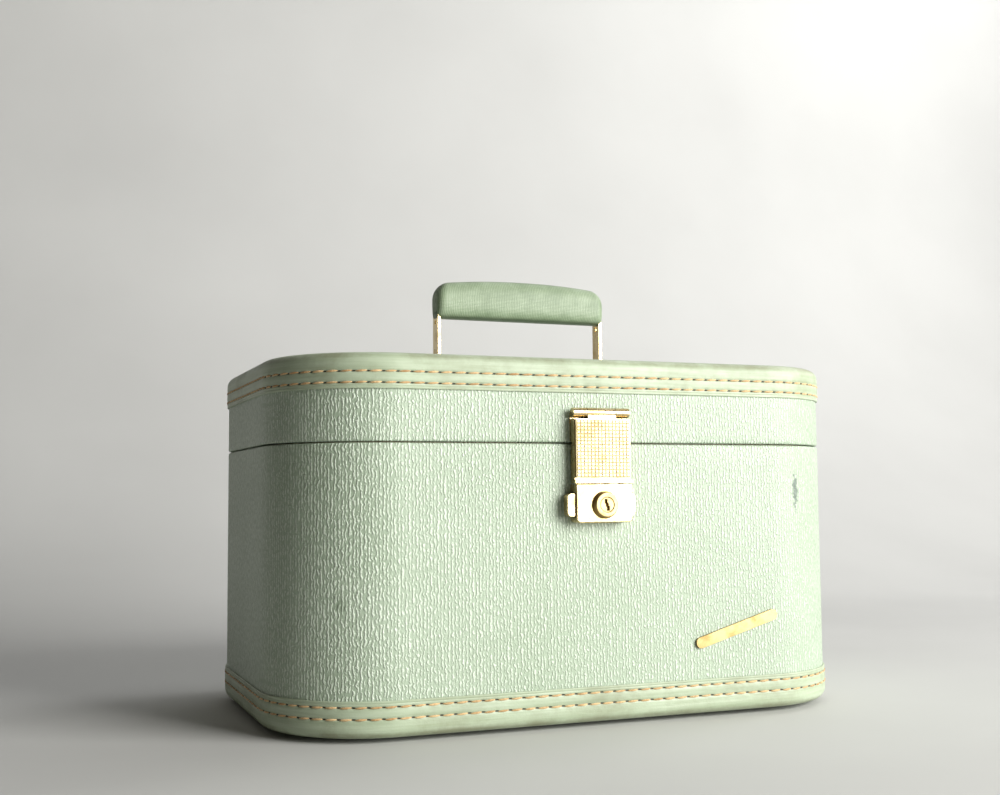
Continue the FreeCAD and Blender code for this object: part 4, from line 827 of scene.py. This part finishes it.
# each piece's slot, finish, width of broken edge in millimetres, and body
FITTINGS = {
    "lock_cover": ("brass", BRASS, 0.25, "case"),
    "key_ring": ("brass", WORN_BRASS, 0.5, "case"),
    "key_plug": ("brass", WORN_BRASS, 0.3, "key"),
    "release_slider": ("brass", BRASS, 0.3, "slider"),
    "hasp_base": ("brass", BRASS, 0.12, "lid"),
    "hasp_plate": ("brass", BRASS, 0.2, "hasp"),
    "hinge_body_leaves": ("brass", BRASS, 0.15, "case"),
    "hinge_lid_leaves": ("brass", BRASS, 0.15, "lid"),
    "handle_brackets": ("brass", BRASS, 0.18, "lid"),
    "handle_strap": ("brass", BRASS, 0.25, "handle"),
    "badge": ("brass", WORN_BRASS, 0.7, "case"),
    "handle_pivots": ("brass", BRASS, 0.2, "lid"),
    "hasp_pin": ("brass", BRASS, 0.2, "lid"),
    "hinge_pins": ("steel", NICKEL, 0.3, "case"),
    "lock_plate": ("steel", NICKEL, 0.12, "case"),
    "lock_cam": ("steel", NICKEL, 0.12, "key"),
    "hasp_staple": ("steel", NICKEL, 0.1, "hasp"),
    "tray": ("tray_plastic", IVORY, 0.5, "tray"),
    "mirror_frame": ("frame_plastic", FRAME_PLASTIC, 0.25, "lid"),
    "mirror_glass": ("mirror", MIRROR, 0.4, "lid"),
    "tray_rests": ("lining", SATIN, 0.8, "case"),
}
for name, (slot_name, finish, width, body) in FITTINGS.items():
    softened(name, finish, width, body)

PLAIN_BOARDS = {
    "base_panel": BOARD,
    "top_panel": BOARD,
    "mirror_backing": CARD,
}
for name, finish in PLAIN_BOARDS.items():
    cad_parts[name].data.materials.clear()
    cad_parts[name].data.materials.append(finish)


def coil_spring():
    """The slider's return spring, as the frame has it, in nickel plate."""
    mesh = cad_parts["release_spring"].data.copy()
    mesh.materials.clear()
    mesh.materials.append(NICKEL)
    made = bpy.data.objects.new("coil_spring", mesh)
    bpy.context.scene.collection.objects.link(made)
    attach(made, "case")
    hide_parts("release_spring")
    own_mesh(made)


coil_spring()


# ------------------------------------------------------------ rivets and feet
def islands(node):
    """The box of each separate solid in a node, in millimetres."""
    bm = bmesh.new()
    bm.from_mesh(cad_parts[node].data)
    bmesh.ops.remove_doubles(bm, verts=bm.verts, dist=1e-6)
    left, boxes = set(bm.verts), []
    while left:
        stack, found = [left.pop()], []
        while stack:
            vert = stack.pop()
            found.append(vert.co / MM)
            for edge in vert.link_edges:
                other = edge.other_vert(vert)
                if other in left:
                    left.remove(other)
                    stack.append(other)
        boxes.append([Vector(map(pick, *found)) for pick in (min, max)])
    bm.free()
    return sorted(boxes, key=lambda b: tuple(b[0]))


def lathe(bm, profile, base, direction, around=28):
    """Turns (radius, height) points about an axis that starts at a base and runs one way."""
    turn = direction.to_track_quat("Z", "X")
    rows = []
    for radius, height in profile:
        ring = []
        for k in range(around):
            a = 2 * math.pi * k / around
            spot = Vector((radius * math.cos(a), radius * math.sin(a), height))
            ring.append(bm.verts.new(base + turn @ spot))
        rows.append(ring)
    grid_faces(bm, rows, False, True)
    bm.faces.new(rows[0])
    bm.faces.new(rows[-1])


def rivets(node, direction, slot_name, finish, body):
    """Domed rivet heads with their shanks, one for each solid of the node."""
    head, dome, shank = 2.3, 0.9, 1.1
    bm = bmesh.new()
    for low, high in islands(node):
        centre = (low + high) / 2
        length = abs((high - low).dot(direction))
        seat = centre + direction * (length / 2 - dome)
        profile = [(shank, dome - length), (shank, 0.0), (head, 0.0), (head, 0.12)]
        profile += [
            (head * math.cos(math.radians(a)), 0.12 + (dome - 0.12) * math.sin(math.radians(a))) for a in (
                20, 40, 58, 74, 87
            )
        ]
        lathe(bm, profile, seat, direction)
    piece(f"{node}_domed", bm, body, slot_name, finish, node)


rivets("hinge_body_rivets", Vector((0, 1, 0)), "brass", BRASS, "case")
rivets("hinge_lid_rivets", Vector((0, 1, 0)), "brass", BRASS, "lid")
rivets("lock_rivets", Vector((0, -1, 0)), "steel", NICKEL, "case")
rivets("hasp_rivets", Vector((0, -1, 0)), "brass", BRASS, "lid")
rivets("bracket_rivets", Vector((0, 0, 1)), "brass", BRASS, "lid")

feet = bmesh.new()
for low, high in islands("feet"):
    middle = Vector(((low.x + high.x) / 2, (low.y + high.y) / 2, 0))
    glide = [
        (4.6, 0.0),
        (5.4, 0.15),
        (6.2, 0.7),
        (6.75, 1.6),
        (6.95, 2.6),
        (6.95, BASE),
        (1.1, BASE),
        (1.1, high.z),
    ]
    lathe(feet, glide, middle, Vector((0, 0, 1)), around=40)
piece("glide_feet", feet, "case", "steel", NICKEL, "feet")


# ------------------------------------------------------------ the hasp's knurled pad
def knurled_pad():
    """A raised plate whose face is a grid of small pyramids inside a narrow plain border."""
    low, high = [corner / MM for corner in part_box("hasp_pad")]
    columns, rows, border = 15, 16, 0.35
    tip = 0.19
    face = low.y + tip
    step_x = (high.x - low.x - 2 * border) / columns
    step_z = (high.z - low.z - 2 * border) / rows
    bm = bmesh.new()
    grid = [
        [
            bm.verts.new((low.x + border + c * step_x, face, low.z + border + r * step_z)) for r in range(
                rows + 1
            )
        ]
        for c in range(columns + 1)
    ]
    flat = 0.55
    for c in range(columns):
        for r in range(rows):
            corners = [grid[c][r], grid[c + 1][r], grid[c + 1][r + 1], grid[c][r + 1]]
            middle = sum((v.co for v in corners), Vector()) / 4
            tops = [
                bm.verts.new(middle.lerp(v.co, flat) + Vector((0, -tip, 0))) for v in corners
            ]
            bm.faces.new(tops)
            for k in range(4):
                after = (k + 1) % 4
                bm.faces.new((corners[k], corners[after], tops[after], tops[k]))
    rim = [grid[c][0] for c in range(columns + 1)]
    rim += [grid[columns][r] for r in range(1, rows + 1)]
    rim += [grid[c][rows] for c in range(columns - 1, -1, -1)]
    rim += [grid[0][r] for r in range(rows - 1, 0, -1)]
    centre = Vector(((low.x + high.x) / 2, 0, (low.z + high.z) / 2))
    spread = Vector(
        (
            (high.x - low.x) / (high.x - low.x - 2 * border),
            1,
            (high.z - low.z) / (high.z - low.z - 2 * border),
        )
    )
    previous = rim
    for y, grow in ((face + 0.05, 1.0), (face + 0.2, 1.0), (high.y, 1.0)):
        ring = []
        for vert in rim:
            away = vert.co - centre
            out = Vector((away.x * spread.x, 0, away.z * spread.z)) * grow + centre
            ring.append(bm.verts.new((out.x, y, out.z)))
        for k in range(len(rim)):
            after = (k + 1) % len(rim)
            bm.faces.new((previous[k], previous[after], ring[after], ring[k]))
        previous = ring
    bm.faces.new(previous)
    piece("knurled_pad", bm, "hasp", "brass", PAD_BRASS, "hasp_pad", crease=12)


knurled_pad()


# ------------------------------------------------------------ the gathered pocket
def pocket():
    """A satin pocket on the back wall, flat where it is glued in below and drawn up by its elastic."""
    low, high = [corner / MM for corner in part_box("back_pocket")]
    _, band_high = [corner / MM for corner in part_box("pocket_elastic")]
    across, upward = 300, 36
    back = high.y
    top = band_high.z
    bm = bmesh.new()
    rows = []
    for r in range(upward + 1):
        t = r / upward
        z = low.z + (top - low.z) * t
        gather = 0.15 + 0.95 * t**2.0
        belly = 3.0 * math.sin(math.pi * min(t * 1.02, 1)) ** 0.7
        row = []
        for c in range(across + 1):
            u = c / across
            x = low.x + (high.x - low.x) * u
            swing = noise.noise(Vector((x / 30, t * 1.5, 0))) * 2.0
            fold = math.sin(2 * math.pi * (x / 6.2 + swing)) * (
                0.62 + 0.38 * noise.noise(Vector((x / 9, t * 2, 3)))
            )
            side = min(1.0, 12 * u, 12 * (1 - u)) ** 0.5
            depth = 0.6 + side * (belly + 1.25 * gather * (fold + 1))
            row.append(bm.verts.new((x, back - min(depth, 4.8), z)))
        rows.append(row)
    grid_faces(bm, rows, False, False)
    made = piece(
        "gathered_pocket", bm, "case", "elastic", POCKET, "back_pocket", "pocket_elastic", crease=80
    )
    return made


pocket()


# ------------------------------------------------------------ floor, light and camera
def stage():
    """A pale sweep: a floor that curves up into a wall behind."""
    profile = [(y, 0.0) for y in (-4.0, -1.0, 0.4)]
    profile += [
        (0.4 + 0.9 * math.sin(math.radians(a)), 0.9 - 0.9 * math.cos(math.radians(a))) for a in range(
            6, 91, 6
        )
    ]
    profile += [(1.3, 4.0)]
    bm = bmesh.new()
    rows = [[bm.verts.new((x, y, z)) for x in (-5.0, 5.0)] for y, z in profile]
    grid_faces(bm, rows, False, False)
    for face in bm.faces:
        face.smooth = True
    mesh = bpy.data.meshes.new("pale_sweep")
    bm.to_mesh(mesh)
    bm.free()
    material, put = new_material("pale_paper")
    place = put("ShaderNodeTexCoord").outputs["Object"]
    mottle = put("ShaderNodeTexNoise", {"Vector": place, "Scale": 3.0, "Detail": 4.0})
    tone = put(
        "ShaderNodeValToRGB", {"Fac": mottle}, ramp=[(0.3, linear("#BDBDBB")), (0.7, linear("#C4C4C2"))]
    )
    finish_material(material, Base_Color=tone, Roughness=0.85)
    mesh.materials.append(material)
    sweep_object = bpy.data.objects.new("pale_sweep", mesh)
    bpy.context.scene.collection.objects.link(sweep_object)


def soft_box(name, place, size, power, warmth, aim=(0, 0, 0.12)):
    """A soft area light, aimed at the middle of the case or at another place."""
    light = bpy.data.lights.new(name, "AREA")
    light.shape = "RECTANGLE"
    light.size, light.size_y = size
    light.energy = power
    light.color = linear(warmth)[:3]
    made = bpy.data.objects.new(name, light)
    made.location = place
    made.rotation_mode = "QUATERNION"
    made.rotation_quaternion = (Vector(aim) - Vector(place)).to_track_quat("-Z", "Y")
    bpy.context.scene.collection.objects.link(made)


stage()
soft_box("window_light", (1.10, -1.42, 0.66), (1.25, 1.2), 70, "#FFFEFA")
soft_box("sky_light", (0.8, 0.3, 2.2), (1.4, 1.4), 8, "#F6F9FF")
soft_box("wall_light", (1.5, 0.45, 1.4), (1.0, 1.0), 15, "#FFFFFF", aim=(0.5, 1.3, 0.9))

world = bpy.data.worlds.new("soft_room")
world.use_nodes = True
world.node_tree.nodes["Background"].inputs["Color"].default_value = linear("#E0D2B4")
world.node_tree.nodes["Background"].inputs["Strength"].default_value = 0.05
bpy.context.scene.world = world
bpy.context.scene.view_settings.view_transform = "Standard"

YAW, PITCH_UP, ROLL = math.radians(21.474), math.radians(4.436), math.radians(-0.473)
forward = Vector(
    (math.sin(YAW) * math.cos(PITCH_UP), math.cos(YAW) * math.cos(PITCH_UP), math.sin(PITCH_UP))
)
level = Vector((math.cos(YAW), -math.sin(YAW), 0))
upward = level.cross(forward)
right = level * math.cos(ROLL) + upward * math.sin(ROLL)
top = upward * math.cos(ROLL) - level * math.sin(ROLL)
lens = bpy.data.cameras.new("camera")
lens.sensor_width = 36.0
lens.lens = 45.38
lens.clip_start, lens.clip_end = 0.01, 50
camera = bpy.data.objects.new("camera", lens)
turned = Matrix((right, top, -forward)).transposed().to_4x4()
camera.matrix_world = Matrix.Translation((-0.29761, MIDDLE_Y * MM - 0.72342, 0.12297)) @ turned
bpy.context.scene.collection.objects.link(camera)
bpy.context.scene.camera = camera
